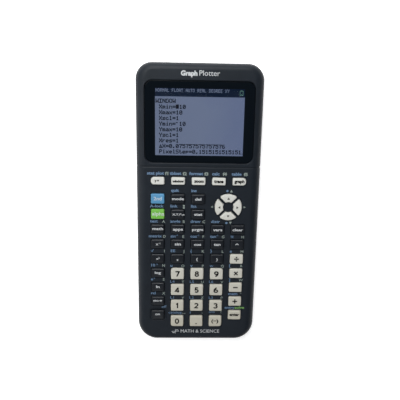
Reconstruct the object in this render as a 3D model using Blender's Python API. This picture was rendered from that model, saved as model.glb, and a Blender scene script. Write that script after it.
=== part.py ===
"""Graphing calculator: two moulded shells that hold a colour display, a circuit board, a rubber
key mat, fifty separate keys, a battery pack behind a screwed cover, and a reset button.

The calculator lies on its back. +Z points out of the keys, +Y towards the display, and the origin is
the centre of its footprint on the table. Every size below is in millimetres; MM turns it into metres.
"""

import math

import bmesh
import bpy

MM = 0.001

# Case
CASE_WIDTH = 82.4
CASE_LENGTH = 192.8
TOP_CORNER = 10.7
BOTTOM_CORNER = 13.4
FOOT_HEIGHT = 0.6
BACK_Z = FOOT_HEIGHT
FACE_Z = BACK_Z + 15.0
WALL = 1.8
GAP = 0.3

# Front shell
RIM_Z = 8.0
SHOULDER_Z = 9.6
SHOULDER_INSET = (6.6, 4.6)
CEILING_Z = FACE_Z - WALL
SHOULDER_STEPS = 4

# Rear shell
REAR_RIM_Z = RIM_Z - GAP
LIP_TOP_Z = 8.9
LIP_THICKNESS = 0.8
BACK_CURVE_Z = 4.6
BACK_INSET = 5.0
FLOOR_Z = BACK_Z + WALL
BACK_STEPS = 3

# Case screws, one in each boss
BOSSES = [(side * x, y) for x, y in ((33.8, 89.8), (35.0, 29.8), (33.0, -88.3)) for side in (-1, 1)]
FRONT_BOSS_RADIUS = 2.4
REAR_BOSS_RADIUS = 3.0
SCREW_PILOT_RADIUS = 0.9
SCREW_SHANK_HOLE_RADIUS = 1.2
SCREW_HEAD_HOLE_RADIUS = 2.1
SCREW_SEAT_Z = 4.6

# Display
DISPLAY_Y = 59.2
WINDOW_SIZE = (70.3, 51.8)
WINDOW_CORNER = 4.8
WINDOW_Z = (14.0, 15.1)
LEDGE_Z = (12.6, 13.7)
LEDGE_SIZE = (74.0, 55.0)
VIEW_OPENING = (61.0, 46.6)
MODULE_SIZE = (68.6, 50.0)
MODULE_Z = (9.8, 12.2)
PANEL_SIZE = (60.2, 45.8)
PANEL_TOP_Z = 13.5

# Keys
COLUMN_PITCH = 13.49
SIDE_ROW_PITCH = 10.55
DIGIT_ROW_PITCH = 11.97
FUNCTION_ROW_Y = 21.05
SECOND_ROW_Y = 8.9
FIRST_DIGIT_ROW_Y = -44.35
KEY_WIDTH = 8.85
FUNCTION_KEY_HEIGHT = 4.95
SHIFT_KEY_HEIGHT = 6.7
DARK_KEY_HEIGHT = 6.45
DIGIT_KEY_HEIGHT = 8.0
KEY_CORNER = 0.8
LARGE_CORNER = 1.2
KEY_CLEARANCE = 0.3
KEY_TOP_Z = FACE_Z + 1.2
KEY_BEVEL = 0.4
FLANGE_Z = (12.2, CEILING_Z - GAP)
FLANGE_MARGIN = 0.9
ARROW_CENTRE = (20.2, 3.5)
ARROW_RADII = (3.6, 9.0)
ARROW_GAP = 1.9
ARROW_FLANGE_MARGIN = 0.4
ON_KEY_Y = SECOND_ROW_Y - 8 * SIDE_ROW_PITCH
ON_DISH = (11.8, 10.0)
ON_DISH_DEPTH = 0.5

# Rubber mat and circuit board
MAT_SIZE = (64.8, 111.5)
MAT_CENTRE_Y = -29.2
MAT_Z = (9.7, 10.5)
DOME_TOP_Z = 11.0
DOME_RADII = (2.3, 1.6)
BOARD_SIZE = (59.0, 184.0)
BOARD_Z = (8.2, 9.4)
USB_X = 18.0
USB_SIZE = (7.7, 9.2)
USB_Z = (4.2, 7.6)
USB_MOUTH_Y = CASE_LENGTH / 2 - 0.5

# Battery, its bay and its cover
BATTERY_SIZE = (36.0, 54.0)
BATTERY_Z = (2.1, 7.3)
BATTERY_Y = -30.1
BAY_CLEARANCE = 0.4
BAY_TOP_Z = 7.8
COVER_SIZE = (42.0, 66.0)
COVER_Y = -32.5
COVER_THICKNESS = 1.1
COVER_CORNER = 3.0
PAD_SIZE = (49.0, 74.0)
PAD_TOP_Z = 3.4
TAB_SIZE = (7.0, 2.6)
TAB_X = 11.0
TAB_Z = (BACK_Z + 1.0, BACK_Z + 1.7)
COVER_SCREW_Y = COVER_Y - COVER_SIZE[1] / 2 + 4.0
COVER_SCREW_BOSS_RADIUS = 3.2

# Reset button and feet
RESET_X = 28.4
RESET_Y = 2.0
RESET_RADIUS = 1.5
RESET_HOLE_RADIUS = 1.9
FEET = [(side * 29.0, y) for y in (78.0, -80.0) for side in (-1, 1)]
FOOT_RADIUS = 4.0

ROUND_STEPS = 12

COLOURS = {
    "case_plastic": ((0.032, 0.036, 0.045), 0.55, 0.0),
    "key_dark": ((0.016, 0.018, 0.024), 0.45, 0.0),
    "key_light": ((0.62, 0.62, 0.56), 0.5, 0.0),
    "key_blue": ((0.12, 0.36, 0.62), 0.5, 0.0),
    "key_green": ((0.19, 0.50, 0.08), 0.5, 0.0),
    "window_glass": ((0.01, 0.012, 0.016), 0.08, 0.0),
    "display": ((0.14, 0.17, 0.24), 0.3, 0.0),
    "board": ((0.02, 0.12, 0.06), 0.5, 0.0),
    "rubber": ((0.05, 0.05, 0.055), 0.8, 0.0),
    "battery": ((0.03, 0.03, 0.03), 0.6, 0.0),
    "screw_steel": ((0.5, 0.5, 0.52), 0.3, 1.0),
}


def material(slot):
    """The Principled material of one slot, made once and shared."""
    found = bpy.data.materials.get(slot)
    if found:
        return found
    made = bpy.data.materials.new(slot)
    made.use_nodes = True
    colour, roughness, metallic = COLOURS[slot]
    shader = made.node_tree.nodes["Principled BSDF"]
    shader.inputs["Base Color"].default_value = (*colour, 1.0)
    shader.inputs["Roughness"].default_value = roughness
    shader.inputs["Metallic"].default_value = metallic
    return made


def object_from(name, mesh_builder, slot):
    """An object with the outward-facing mesh of a bmesh in millimetres."""
    bmesh.ops.recalc_face_normals(mesh_builder, faces=mesh_builder.faces)
    bmesh.ops.scale(mesh_builder, vec=(MM, MM, MM), verts=mesh_builder.verts)
    mesh = bpy.data.meshes.new(name)
    mesh_builder.to_mesh(mesh)
    mesh_builder.free()
    made = bpy.data.objects.new(name, mesh)
    bpy.context.scene.collection.objects.link(made)
    mesh.materials.append(material(slot))
    return made


def add_stack(mesh_builder, sections):
    """A closed solid through a list of (outline, z) with equal point counts, capped at both ends."""
    rings = []
    for outline, z in sections:
        rings.append([mesh_builder.verts.new((x, y, z)) for x, y in outline])
    for lower, upper in zip(rings, rings[1:]):
        for i in range(len(lower)):
            j = (i + 1) % len(lower)
            mesh_builder.faces.new((lower[i], lower[j], upper[j], upper[i]))
    mesh_builder.faces.new(list(reversed(rings[0])))
    mesh_builder.faces.new(rings[-1])


def stack(name, sections, slot):
    """One stacked solid as an object."""
    mesh_builder = bmesh.new()
    add_stack(mesh_builder, sections)
    return object_from(name, mesh_builder, slot)


def stacks(name, list_of_sections, slot="case_plastic"):
    """Several separate stacked solids in one helper mesh."""
    mesh_builder = bmesh.new()
    for sections in list_of_sections:
        add_stack(mesh_builder, sections)
    return object_from(name, mesh_builder, slot)


def arc(centre, radius, start, end, steps):
    """Points on an arc, angles in degrees, both ends included."""
    points = []
    for i in range(steps + 1):
        angle = math.radians(start + (end - start) * i / steps)
        points.append((centre[0] + radius * math.cos(angle), centre[1] + radius * math.sin(angle)))
    return points


def circle(x, y, radius, steps=ROUND_STEPS):
    """A regular polygon that stands for a circle."""
    return arc((x, y), radius, 0, 360 * (steps - 1) / steps, steps - 1)


def rounded_box(low, high, radii, steps):
    """A rectangle with four rounded corners: radii and steps run bottom left, bottom right,
    top right, top left, and the points run anticlockwise."""
    corners = (
        (low[0], low[1], 1, 1),
        (high[0], low[1], -1, 1),
        (high[0], high[1], -1, -1),
        (low[0], high[1], 1, -1),
    )
    points = []
    for i, (x, y, inward_x, inward_y) in enumerate(corners):
        centre = (x + inward_x * radii[i], y + inward_y * radii[i])
        start = 180 + 90 * i
        points += arc(centre, radii[i], start, start + 90, steps[i])
    return points


def box_outline(centre, size, corner=0.6, steps=1):
    """A rounded rectangle by its centre and size."""
    half = (size[0] / 2, size[1] / 2)
    low = (centre[0] - half[0], centre[1] - half[1])
    high = (centre[0] + half[0], centre[1] + half[1])
    return rounded_box(low, high, (corner,) * 4, (steps,) * 4)


def case_outline(inset_x, inset_y=None, steps=5):
    """The case's outline moved inwards; its lower corners are rounder than its upper ones."""
    inset_y = inset_x if inset_y is None else inset_y
    half_width = CASE_WIDTH / 2 - inset_x
    half_length = CASE_LENGTH / 2 - inset_y
    less = (inset_x + inset_y) / 2
    radii = (BOTTOM_CORNER - less, BOTTOM_CORNER - less, TOP_CORNER - less, TOP_CORNER - less)
    return rounded_box((-half_width, -half_length), (half_width, half_length), radii, (steps,) * 4)


def modifier(target, helper, operation):
    """A Boolean that cuts target with helper or joins helper to it."""
    made = target.modifiers.new(helper.name, "BOOLEAN")
    made.operation = operation
    made.object = helper
    helper.hide_render = True
    helper.display_type = "WIRE"
    return made


def cut(target, helper):
    return modifier(target, helper, "DIFFERENCE")


def join(target, helper):
    return modifier(target, helper, "UNION")


# --- keys -------------------------------------------------------------------------------------


def column_x(column):
    return (column - 2) * COLUMN_PITCH


def key_layout():
    """Every rectangular key as (name, centre, height, colour slot, corner radii)."""
    plain = (KEY_CORNER,) * 4
    keys = []

    def add(name, column, y, height, slot, radii=plain):
        keys.append((f"key_{name}", (column_x(column), y), height, slot, radii))

    left_end = (2.2, KEY_CORNER, KEY_CORNER, 2.2)
    right_end = (KEY_CORNER, 2.2, 2.2, KEY_CORNER)
    ends = {"y_equals": left_end, "graph": right_end}
    for column, name in enumerate(("y_equals", "window", "zoom", "trace", "graph")):
        add(name, column, FUNCTION_ROW_Y, FUNCTION_KEY_HEIGHT, "key_light", ends.get(name, plain))

    upper_rows = (
        ("second", "mode", "delete"),
        ("alpha", "variable", "stat"),
        ("math", "apps", "program", "vars", "clear"),
        ("inverse", "sin", "cos", "tan", "power"),
        ("square", "comma", "open_bracket", "close_bracket", "divide"),
    )
    special = {"second": "key_blue", "alpha": "key_green", "divide": "key_light"}
    for row, names in enumerate(upper_rows):
        for column, name in enumerate(names):
            slot = special.get(name, "key_dark")
            height = DARK_KEY_HEIGHT if slot == "key_dark" else SHIFT_KEY_HEIGHT
            add(name, column, SECOND_ROW_Y - row * SIDE_ROW_PITCH, height, slot)

    side_pairs = (("log", "multiply"), ("ln", "subtract"), ("store", "add"), ("on", "enter"))
    for row, (left, right) in enumerate(side_pairs, start=len(upper_rows)):
        y = SECOND_ROW_Y - row * SIDE_ROW_PITCH
        add(left, 0, y, DARK_KEY_HEIGHT, "key_dark")
        add(right, 4, y, SHIFT_KEY_HEIGHT, "key_light")

    block_corners = {
        "7": (KEY_CORNER, KEY_CORNER, KEY_CORNER, 1.8),
        "9": (KEY_CORNER, KEY_CORNER, 1.8, KEY_CORNER),
        "0": (1.6, KEY_CORNER, KEY_CORNER, KEY_CORNER),
        "negative": (KEY_CORNER, 1.6, KEY_CORNER, KEY_CORNER),
    }
    digit_rows = (("7", "8", "9"), ("4", "5", "6"), ("1", "2", "3"), ("0", "point", "negative"))
    for row, names in enumerate(digit_rows):
        y = FIRST_DIGIT_ROW_Y - row * DIGIT_ROW_PITCH
        for column, name in enumerate(names, start=1):
            add(name, column, y, DIGIT_KEY_HEIGHT, "key_light", block_corners.get(name, plain))
    return keys


def key_outline(centre, height, radii, margin):
    """A key's outline grown by margin; the point count depends on the cap's own corners only."""
    half = (KEY_WIDTH / 2 + margin, height / 2 + margin)
    low = (centre[0] - half[0], centre[1] - half[1])
    high = (centre[0] + half[0], centre[1] + half[1])
    steps = [1 if radius < LARGE_CORNER else 3 for radius in radii]
    return rounded_box(low, high, [max(radius + margin, 0.3) for radius in radii], steps)


def arrow_outline(turn, side_margin, round_margin):
    """One quarter of the arrow ring: two arcs and two straight sides, turned by an angle in degrees.
    The sides move out by side_margin and the arcs by round_margin."""
    inner = ARROW_RADII[0] - round_margin
    outer = ARROW_RADII[1] + round_margin
    half_gap = ARROW_GAP / 2 - side_margin
    inner_angle = math.degrees(math.asin(half_gap / inner))
    outer_angle = math.degrees(math.asin(half_gap / outer))
    start, end = turn - 45, turn + 45
    outside = arc(ARROW_CENTRE, outer, start + outer_angle, end - outer_angle, 6)
    inside = arc(ARROW_CENTRE, inner, end - inner_angle, start + inner_angle, 3)
    return outside + inside


ARROWS = {"key_right": 0, "key_up": 90, "key_left": 180, "key_down": 270}


def cap_sections(cap, flange, bevelled):
    """Flange under the face plate, straight cap through it, and a bevelled top edge."""
    return [
        (flange, FLANGE_Z[0]),
        (flange, FLANGE_Z[1]),
        (cap, FLANGE_Z[1]),
        (cap, KEY_TOP_Z - KEY_BEVEL),
        (bevelled, KEY_TOP_Z),
    ]


def put_origin(made, x, y, z):
    """Moves the object's origin to a point in millimetres, leaving its shape where it is."""
    for vertex in made.data.vertices:
        vertex.co.x -= x * MM
        vertex.co.y -= y * MM
        vertex.co.z -= z * MM
    made.location = (x * MM, y * MM, z * MM)


def build_keys():
    for name, centre, height, slot, radii in key_layout():
        cap = key_outline(centre, height, radii, 0)
        flange = key_outline(centre, height, radii, FLANGE_MARGIN)
        bevelled = key_outline(centre, height, radii, -KEY_BEVEL)
        made = stack(name, cap_sections(cap, flange, bevelled), slot)
        put_origin(made, *centre, FLANGE_Z[1])
    for name, turn in ARROWS.items():
        cap = arrow_outline(turn, 0, 0)
        flange = arrow_outline(turn, ARROW_FLANGE_MARGIN, FLANGE_MARGIN)
        bevelled = arrow_outline(turn, -KEY_BEVEL, -KEY_BEVEL)
        made = stack(name, cap_sections(cap, flange, bevelled), "key_light")
        put_origin(made, *ARROW_CENTRE, FLANGE_Z[1])


def key_holes():
    """The prisms that cut the face plate around each key."""
    bottom, top = CEILING_Z - 1, FACE_Z + 1
    holes = []
    for _, centre, height, _, radii in key_layout():
        hole = key_outline(centre, height, radii, KEY_CLEARANCE)
        holes.append([(hole, bottom), (hole, top)])
    for turn in ARROWS.values():
        hole = arrow_outline(turn, KEY_CLEARANCE, KEY_CLEARANCE)
        holes.append([(hole, bottom), (hole, top)])
    return stacks("cut_key_holes", holes)


# --- shells -----------------------------------------------------------------------------------


def quarter(steps):
    """Sine and one minus cosine over a quarter turn: how far a rounded edge has risen and gone in."""
    angles = [math.pi / 2 * i / steps for i in range(1, steps + 1)]
    return [(math.sin(a), 1 - math.cos(a)) for a in angles]


def tray(name, outer, inner, slot):
    """A shell: outer sections from the rim to the closed end, and inner ones back to the rim."""
    mesh_builder = bmesh.new()
    loops = []
    for outline, z in [*reversed(outer), *inner]:
        loops.append([mesh_builder.verts.new((x, y, z)) for x, y in outline])
    for lower, upper in zip(loops, loops[1:]):
        for i in range(len(lower)):
            j = (i + 1) % len(lower)
            mesh_builder.faces.new((lower[i], lower[j], upper[j], upper[i]))
    mesh_builder.faces.new(loops[0])
    mesh_builder.faces.new(loops[-1])
    return object_from(name, mesh_builder, slot)


def build_front_case():
    rise = FACE_Z - SHOULDER_Z
    inner_rise = CEILING_Z - SHOULDER_Z
    outer = [(case_outline(0), RIM_Z), (case_outline(0), SHOULDER_Z)]
    inner = [(case_outline(WALL), RIM_Z), (case_outline(WALL), SHOULDER_Z)]
    for up, along in quarter(SHOULDER_STEPS):
        inset = [along * size for size in SHOULDER_INSET]
        outer.append((case_outline(*inset), SHOULDER_Z + rise * up))
        inner.append((case_outline(WALL + inset[0], WALL + inset[1]), SHOULDER_Z + inner_rise * up))
    case = tray("front_case", outer, inner, "case_plastic")

    ledge = box_outline((0, DISPLAY_Y), LEDGE_SIZE, 3.0, 2)
    join(case, stacks("join_window_ledge", [[(ledge, LEDGE_Z[0]), (ledge, CEILING_Z + 0.5)]]))
    bosses = []
    for x, y in BOSSES:
        boss = circle(x, y, FRONT_BOSS_RADIUS)
        bosses.append([(boss, RIM_Z + GAP), (boss, CEILING_Z + 0.6)])
    join(case, stacks("join_front_bosses", bosses))
    cut(case, key_holes())
    window = [size + 2 * GAP for size in WINDOW_SIZE]
    lip = [size + 1.2 for size in window]
    pocket = box_outline((0, DISPLAY_Y), window, WINDOW_CORNER + GAP, 4)
    flare = box_outline((0, DISPLAY_Y), lip, WINDOW_CORNER + GAP + 0.6, 4)
    window_pocket = [(pocket, LEDGE_Z[1]), (pocket, WINDOW_Z[1]), (flare, FACE_Z + 0.1)]
    cut(case, stacks("cut_window_pocket", [window_pocket]))
    dish_rim = box_outline((column_x(0), ON_KEY_Y), ON_DISH, 2.0, 3)
    dish_floor = box_outline((column_x(0), ON_KEY_Y), [size - 1.4 for size in ON_DISH], 1.4, 3)
    dish = [(dish_floor, FACE_Z - ON_DISH_DEPTH), (dish_rim, FACE_Z + 0.01), (dish_rim, FACE_Z + 1)]
    cut(case, stacks("cut_on_key_dish", [dish]))
    view = box_outline((0, DISPLAY_Y), VIEW_OPENING, 1.0, 1)
    cut(case, stacks("cut_view_opening", [[(view, LEDGE_Z[0] - 1), (view, FACE_Z + 1)]]))
    pilots = []
    for x, y in BOSSES:
        pilot = circle(x, y, SCREW_PILOT_RADIUS, 8)
        pilots.append([(pilot, RIM_Z - 1), (pilot, CEILING_Z - 1.5)])
    cut(case, stacks("cut_screw_pilots", pilots))


def build_rear_case():
    lip_outer = WALL + GAP
    lip_inner = lip_outer + LIP_THICKNESS
    outer = [
        (case_outline(lip_outer), LIP_TOP_Z),
        (case_outline(lip_outer), REAR_RIM_Z),
        (case_outline(0), REAR_RIM_Z),
        (case_outline(0), BACK_CURVE_Z),
    ]
    inner = [
        (case_outline(lip_inner), LIP_TOP_Z),
        (case_outline(lip_inner), REAR_RIM_Z - 1.2),
        (case_outline(WALL), REAR_RIM_Z - 2.4),
        (case_outline(WALL), BACK_CURVE_Z),
    ]
    for down, along in quarter(BACK_STEPS):
        inset = along * BACK_INSET
        outer.append((case_outline(inset), BACK_CURVE_Z - (BACK_CURVE_Z - BACK_Z) * down))
        inner.append((case_outline(WALL + inset), BACK_CURVE_Z - (BACK_CURVE_Z - FLOOR_Z) * down))
    case = tray("rear_case", outer, inner, "case_plastic")

    solids = []
    pad = box_outline((0, COVER_Y), PAD_SIZE, 2.0)
    solids.append([(pad, BACK_Z + 0.8), (pad, PAD_TOP_Z)])
    bay = [size + 2 * BAY_CLEARANCE for size in BATTERY_SIZE]
    bay_wall = box_outline((0, BATTERY_Y), [size + 2.4 for size in bay], 1.0)
    solids.append([(bay_wall, PAD_TOP_Z - 0.5), (bay_wall, BAY_TOP_Z)])
    join(case, stacks("join_battery_bay", solids))
    posts = []
    for x, y in BOSSES:
        post = circle(x, y, REAR_BOSS_RADIUS)
        posts.append([(post, BACK_Z + 0.8), (post, REAR_RIM_Z)])
    screw_post = circle(0, COVER_SCREW_Y, COVER_SCREW_BOSS_RADIUS)
    posts.append([(screw_post, PAD_TOP_Z - 0.5), (screw_post, BAY_TOP_Z - 0.8)])
    for x, y in FEET:
        foot = circle(x, y, FOOT_RADIUS, 16)
        rim = circle(x, y, FOOT_RADIUS - 0.2, 16)
        posts.append([(rim, 0), (foot, 0.2), (foot, BACK_Z + 0.7)])
    join(case, stacks("join_posts_and_feet", posts))

    opening = box_outline((0, BATTERY_Y), bay, 0.8)
    recess = box_outline((0, COVER_Y), [size + 2 * GAP for size in COVER_SIZE], COVER_CORNER + GAP, 3)
    cut(case, stacks("cut_battery_bay", [[(opening, BACK_Z - 1), (opening, BAY_TOP_Z + 1)]]))
    recess_top = BACK_Z + COVER_THICKNESS + GAP
    cut(case, stacks("cut_cover_recess", [[(recess, BACK_Z - 1), (recess, recess_top)]]))
    holes = []
    cover_edge = COVER_Y + COVER_SIZE[1] / 2
    for side in (-1, 1):
        slot = box_outline((side * TAB_X, cover_edge), (TAB_SIZE[0] + 1.0, 2 * TAB_SIZE[1] + 1.4), 0.2)
        holes.append([(slot, TAB_Z[0] - GAP), (slot, PAD_TOP_Z + 1)])
    for x, y in BOSSES:
        head = circle(x, y, SCREW_HEAD_HOLE_RADIUS)
        shank = circle(x, y, SCREW_SHANK_HOLE_RADIUS)
        counterbore = [(head, BACK_Z - 1), (head, SCREW_SEAT_Z)]
        holes.append([*counterbore, (shank, SCREW_SEAT_Z), (shank, REAR_RIM_Z + 1)])
    screw_hole = circle(0, COVER_SCREW_Y, 1.5)
    holes.append([(screw_hole, BACK_Z), (screw_hole, BAY_TOP_Z - 1.8)])
    reset_hole = circle(RESET_X, RESET_Y, RESET_HOLE_RADIUS)
    holes.append([(reset_hole, BACK_Z - 1), (reset_hole, FLOOR_Z + 1)])
    usb = [(USB_X - 4.4, 90.0), (USB_X + 4.4, 90.0), (USB_X + 4.4, 99.0), (USB_X - 4.4, 99.0)]
    holes.append([(usb, USB_Z[0] - GAP), (usb, LIP_TOP_Z + 1)])
    cut(case, stacks("cut_holes", holes))


# --- inside -----------------------------------------------------------------------------------


def build_display():
    pane = box_outline((0, DISPLAY_Y), WINDOW_SIZE, WINDOW_CORNER, 4)
    pane_top = box_outline((0, DISPLAY_Y), [size - 0.4 for size in WINDOW_SIZE], WINDOW_CORNER - 0.2, 4)
    glass = [(pane, WINDOW_Z[0]), (pane, WINDOW_Z[1] - 0.2), (pane_top, WINDOW_Z[1])]
    stack("display_window", glass, "window_glass")
    frame = box_outline((0, DISPLAY_Y), MODULE_SIZE, 0.8)
    panel = box_outline((0, DISPLAY_Y), PANEL_SIZE, 0.6)
    sections = [(frame, MODULE_Z[0]), (frame, MODULE_Z[1]), (panel, MODULE_Z[1]), (panel, PANEL_TOP_Z)]
    stack("display_module", sections, "display")


def build_key_mat():
    sheet = box_outline((0, MAT_CENTRE_Y), MAT_SIZE, 2.0, 2)
    mat = stack("key_mat", [(sheet, MAT_Z[0]), (sheet, MAT_Z[1])], "rubber")
    arrow_middle = sum(ARROW_RADII) / 2
    centres = [centre for _, centre, _, _, _ in key_layout()]
    for turn in ARROWS.values():
        centres += arc(ARROW_CENTRE, arrow_middle, turn, turn, 1)[:1]
    domes = []
    for x, y in centres:
        foot = circle(x, y, DOME_RADII[0], 8)
        crown = circle(x, y, DOME_RADII[1], 8)
        domes.append([(foot, MAT_Z[1] - 0.3), (foot, MAT_Z[1] + 0.05), (crown, DOME_TOP_Z)])
    join(mat, stacks("join_domes", domes, "rubber"))


def build_circuit_board():
    sheet = box_outline((0, 0), BOARD_SIZE, 1.5)
    board = stack("circuit_board", [(sheet, BOARD_Z[0]), (sheet, BOARD_Z[1])], "board")
    under = BOARD_Z[0] + 0.3
    chips = []
    for centre, size, depth in (
        ((-8.0, 60.0), (14.0, 14.0), 1.3),
        ((10.0, 58.0), (9.0, 7.0), 1.1),
        ((-16.0, 78.0), (8.0, 5.0), 1.2),
        ((0.0, 18.0), (10.0, 5.0), 2.4),
        ((RESET_X - 1.0, RESET_Y), (4.0, 4.0), 1.0),
        ((USB_X, 84.8), (6.0, 3.5), 1.0),
    ):
        chip = box_outline(centre, size, 0.3)
        chips.append([(chip, BOARD_Z[0] - depth), (chip, under)])
    usb_centre = (USB_X, USB_MOUTH_Y - USB_SIZE[1] / 2)
    shell = box_outline(usb_centre, USB_SIZE, 0.3)
    chips.append([(shell, USB_Z[0]), (shell, USB_Z[1])])
    join(board, stacks("join_components", chips, "board"))
    foot = box_outline((USB_X, 89.0), (7.0, 4.0), 0.3)
    join(board, stacks("join_usb_foot", [[(foot, USB_Z[1] - 0.3), (foot, under)]], "board"))
    mouth = box_outline((USB_X, USB_MOUTH_Y), (6.8, 13.0), 0.2)
    cut(board, stacks("cut_usb_mouth", [[(mouth, USB_Z[0] + 0.4), (mouth, USB_Z[1] - 0.4)]], "board"))
    tongue = box_outline((USB_X, USB_MOUTH_Y - 5.0), (5.0, 8.0), 0.2)
    join(board, stacks("join_usb_tongue", [[(tongue, 5.5), (tongue, 6.3)]], "board"))


def build_battery():
    rounded = [size - 1.6 for size in BATTERY_SIZE]
    low, high = BATTERY_Z
    sections = [
        (box_outline((0, BATTERY_Y), rounded, 1.0, 2), low),
        (box_outline((0, BATTERY_Y), BATTERY_SIZE, 1.8, 2), low + 0.8),
        (box_outline((0, BATTERY_Y), BATTERY_SIZE, 1.8, 2), high - 0.8),
        (box_outline((0, BATTERY_Y), rounded, 1.0, 2), high),
    ]
    stack("battery_pack", sections, "battery")


def build_battery_cover():
    """The cover turns about its tabbed edge, so its origin is the middle of that edge."""
    plate = box_outline((0, COVER_Y), COVER_SIZE, COVER_CORNER, 3)
    cover = stack("battery_cover", [(plate, BACK_Z), (plate, BACK_Z + COVER_THICKNESS)], "case_plastic")
    edge = COVER_Y + COVER_SIZE[1] / 2
    tabs = []
    for side in (-1, 1):
        tab = box_outline((side * TAB_X, edge), (TAB_SIZE[0], 2 * TAB_SIZE[1]), 0.3)
        root = box_outline((side * TAB_X, edge - TAB_SIZE[1] / 2 - 0.3), (TAB_SIZE[0], TAB_SIZE[1]), 0.3)
        tabs.append([(root, BACK_Z + 0.5), (root, TAB_Z[1] - 0.2)])
        tabs.append([(tab, TAB_Z[0] + 0.05), (tab, TAB_Z[1])])
    for helper in (stacks("join_cover_tab_roots", tabs[::2]), stacks("join_cover_tabs", tabs[1::2])):
        join(cover, helper)
    head = circle(0, COVER_SCREW_Y, 2.4)
    shank = circle(0, COVER_SCREW_Y, 1.3)
    hole = [(head, BACK_Z - 1), (head, BACK_Z + 0.7), (shank, BACK_Z + 0.7), (shank, BACK_Z + 3)]
    cut(cover, stacks("cut_cover_screw_hole", [hole]))
    put_origin(cover, 0, edge, BACK_Z)
    sections = [
        (circle(0, COVER_SCREW_Y, 1.9), BACK_Z + 0.05),
        (circle(0, COVER_SCREW_Y, 2.1), BACK_Z + 0.15),
        (circle(0, COVER_SCREW_Y, 2.1), BACK_Z + 0.6),
        (circle(0, COVER_SCREW_Y, 1.0), BACK_Z + 0.6),
        (circle(0, COVER_SCREW_Y, 1.0), BAY_TOP_Z - 3.0),
    ]
    stack("battery_cover_screw", sections, "screw_steel")


def build_reset_button():
    sections = [
        (circle(RESET_X, RESET_Y, RESET_RADIUS), BACK_Z + 0.6),
        (circle(RESET_X, RESET_Y, RESET_RADIUS), FLOOR_Z + GAP),
        (circle(RESET_X, RESET_Y, 2.8), FLOOR_Z + GAP),
        (circle(RESET_X, RESET_Y, 2.8), FLOOR_Z + 1.1),
        (circle(RESET_X, RESET_Y, 1.0), FLOOR_Z + 1.1),
        (circle(RESET_X, RESET_Y, 1.0), 6.4),
    ]
    made = stack("reset_button", sections, "rubber")
    put_origin(made, RESET_X, RESET_Y, FLOOR_Z)


def clear_scene():
    for old in list(bpy.data.objects):
        bpy.data.objects.remove(old)


def main():
    clear_scene()
    build_front_case()
    build_rear_case()
    build_keys()
    build_display()
    build_key_mat()
    build_circuit_board()
    build_battery()
    build_battery_cover()
    build_reset_button()


main()
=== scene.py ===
"""Graphing calculator on its back on a pale floor under soft studio light.

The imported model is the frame. Fine shells, key caps, window glass and printed legends stand for its
coarse solids or lie on them, and each one rides on the body that it belongs to. Lengths are in
millimetres until a piece is made, and MM turns them into metres.
"""

import math
import re

import bmesh
import bpy
from mathutils import Matrix, Vector


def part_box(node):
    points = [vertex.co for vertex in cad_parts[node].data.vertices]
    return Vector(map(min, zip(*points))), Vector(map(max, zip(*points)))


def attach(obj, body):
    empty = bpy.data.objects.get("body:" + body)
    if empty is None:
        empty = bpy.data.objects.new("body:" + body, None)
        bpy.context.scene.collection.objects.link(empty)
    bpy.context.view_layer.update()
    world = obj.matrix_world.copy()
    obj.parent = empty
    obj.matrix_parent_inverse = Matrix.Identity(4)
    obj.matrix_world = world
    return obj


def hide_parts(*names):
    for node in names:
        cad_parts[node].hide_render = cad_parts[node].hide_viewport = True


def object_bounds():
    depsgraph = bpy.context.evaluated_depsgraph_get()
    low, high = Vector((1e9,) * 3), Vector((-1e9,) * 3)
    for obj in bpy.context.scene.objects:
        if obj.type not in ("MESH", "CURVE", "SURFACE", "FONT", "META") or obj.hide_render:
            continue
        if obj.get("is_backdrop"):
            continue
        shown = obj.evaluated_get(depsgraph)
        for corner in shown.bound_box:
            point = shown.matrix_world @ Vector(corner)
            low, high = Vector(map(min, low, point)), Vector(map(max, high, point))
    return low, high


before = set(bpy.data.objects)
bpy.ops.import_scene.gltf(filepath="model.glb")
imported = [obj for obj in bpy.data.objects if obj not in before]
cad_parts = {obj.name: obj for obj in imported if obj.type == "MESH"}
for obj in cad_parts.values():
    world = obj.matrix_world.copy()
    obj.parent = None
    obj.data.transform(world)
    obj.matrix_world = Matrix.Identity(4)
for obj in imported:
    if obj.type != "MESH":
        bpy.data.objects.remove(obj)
cad_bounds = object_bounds()

MM = 0.001
ROOT = "housing"


def cad(node):
    """Lowest and highest corner of a CAD node in millimetres."""
    return [[value / MM for value in corner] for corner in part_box(node)]


# Case, as the CAD has it
CASE_LOW, CASE_HIGH = cad("front_case")
REAR_HIGH = cad("rear_case")[1]
CASE_WIDTH = CASE_HIGH[0] - CASE_LOW[0]
CASE_LENGTH = CASE_HIGH[1] - CASE_LOW[1]
FACE_Z = CASE_HIGH[2]
BACK_Z = 0.6
TOP_CORNER = 10.7
BOTTOM_CORNER = 13.4
WALL = 1.8
GAP = 0.3
RIM_Z = CASE_LOW[2]
SHOULDER_Z = 9.6
SHOULDER_INSET = (6.6, 4.6)
CEILING_Z = FACE_Z - WALL
REAR_RIM_Z = RIM_Z - GAP
LIP_TOP_Z = 8.9
LIP_THICKNESS = 0.8
BACK_CURVE_Z = 4.6
BACK_INSET = 5.0
FLOOR_Z = BACK_Z + WALL
BOSSES = [(side * x, y) for x, y in ((33.8, 89.8), (35.0, 29.8), (33.0, -88.3)) for side in (-1, 1)]
SCREW_SEAT_Z = 4.6
SHANK_RADIUS = 1.0

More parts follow.
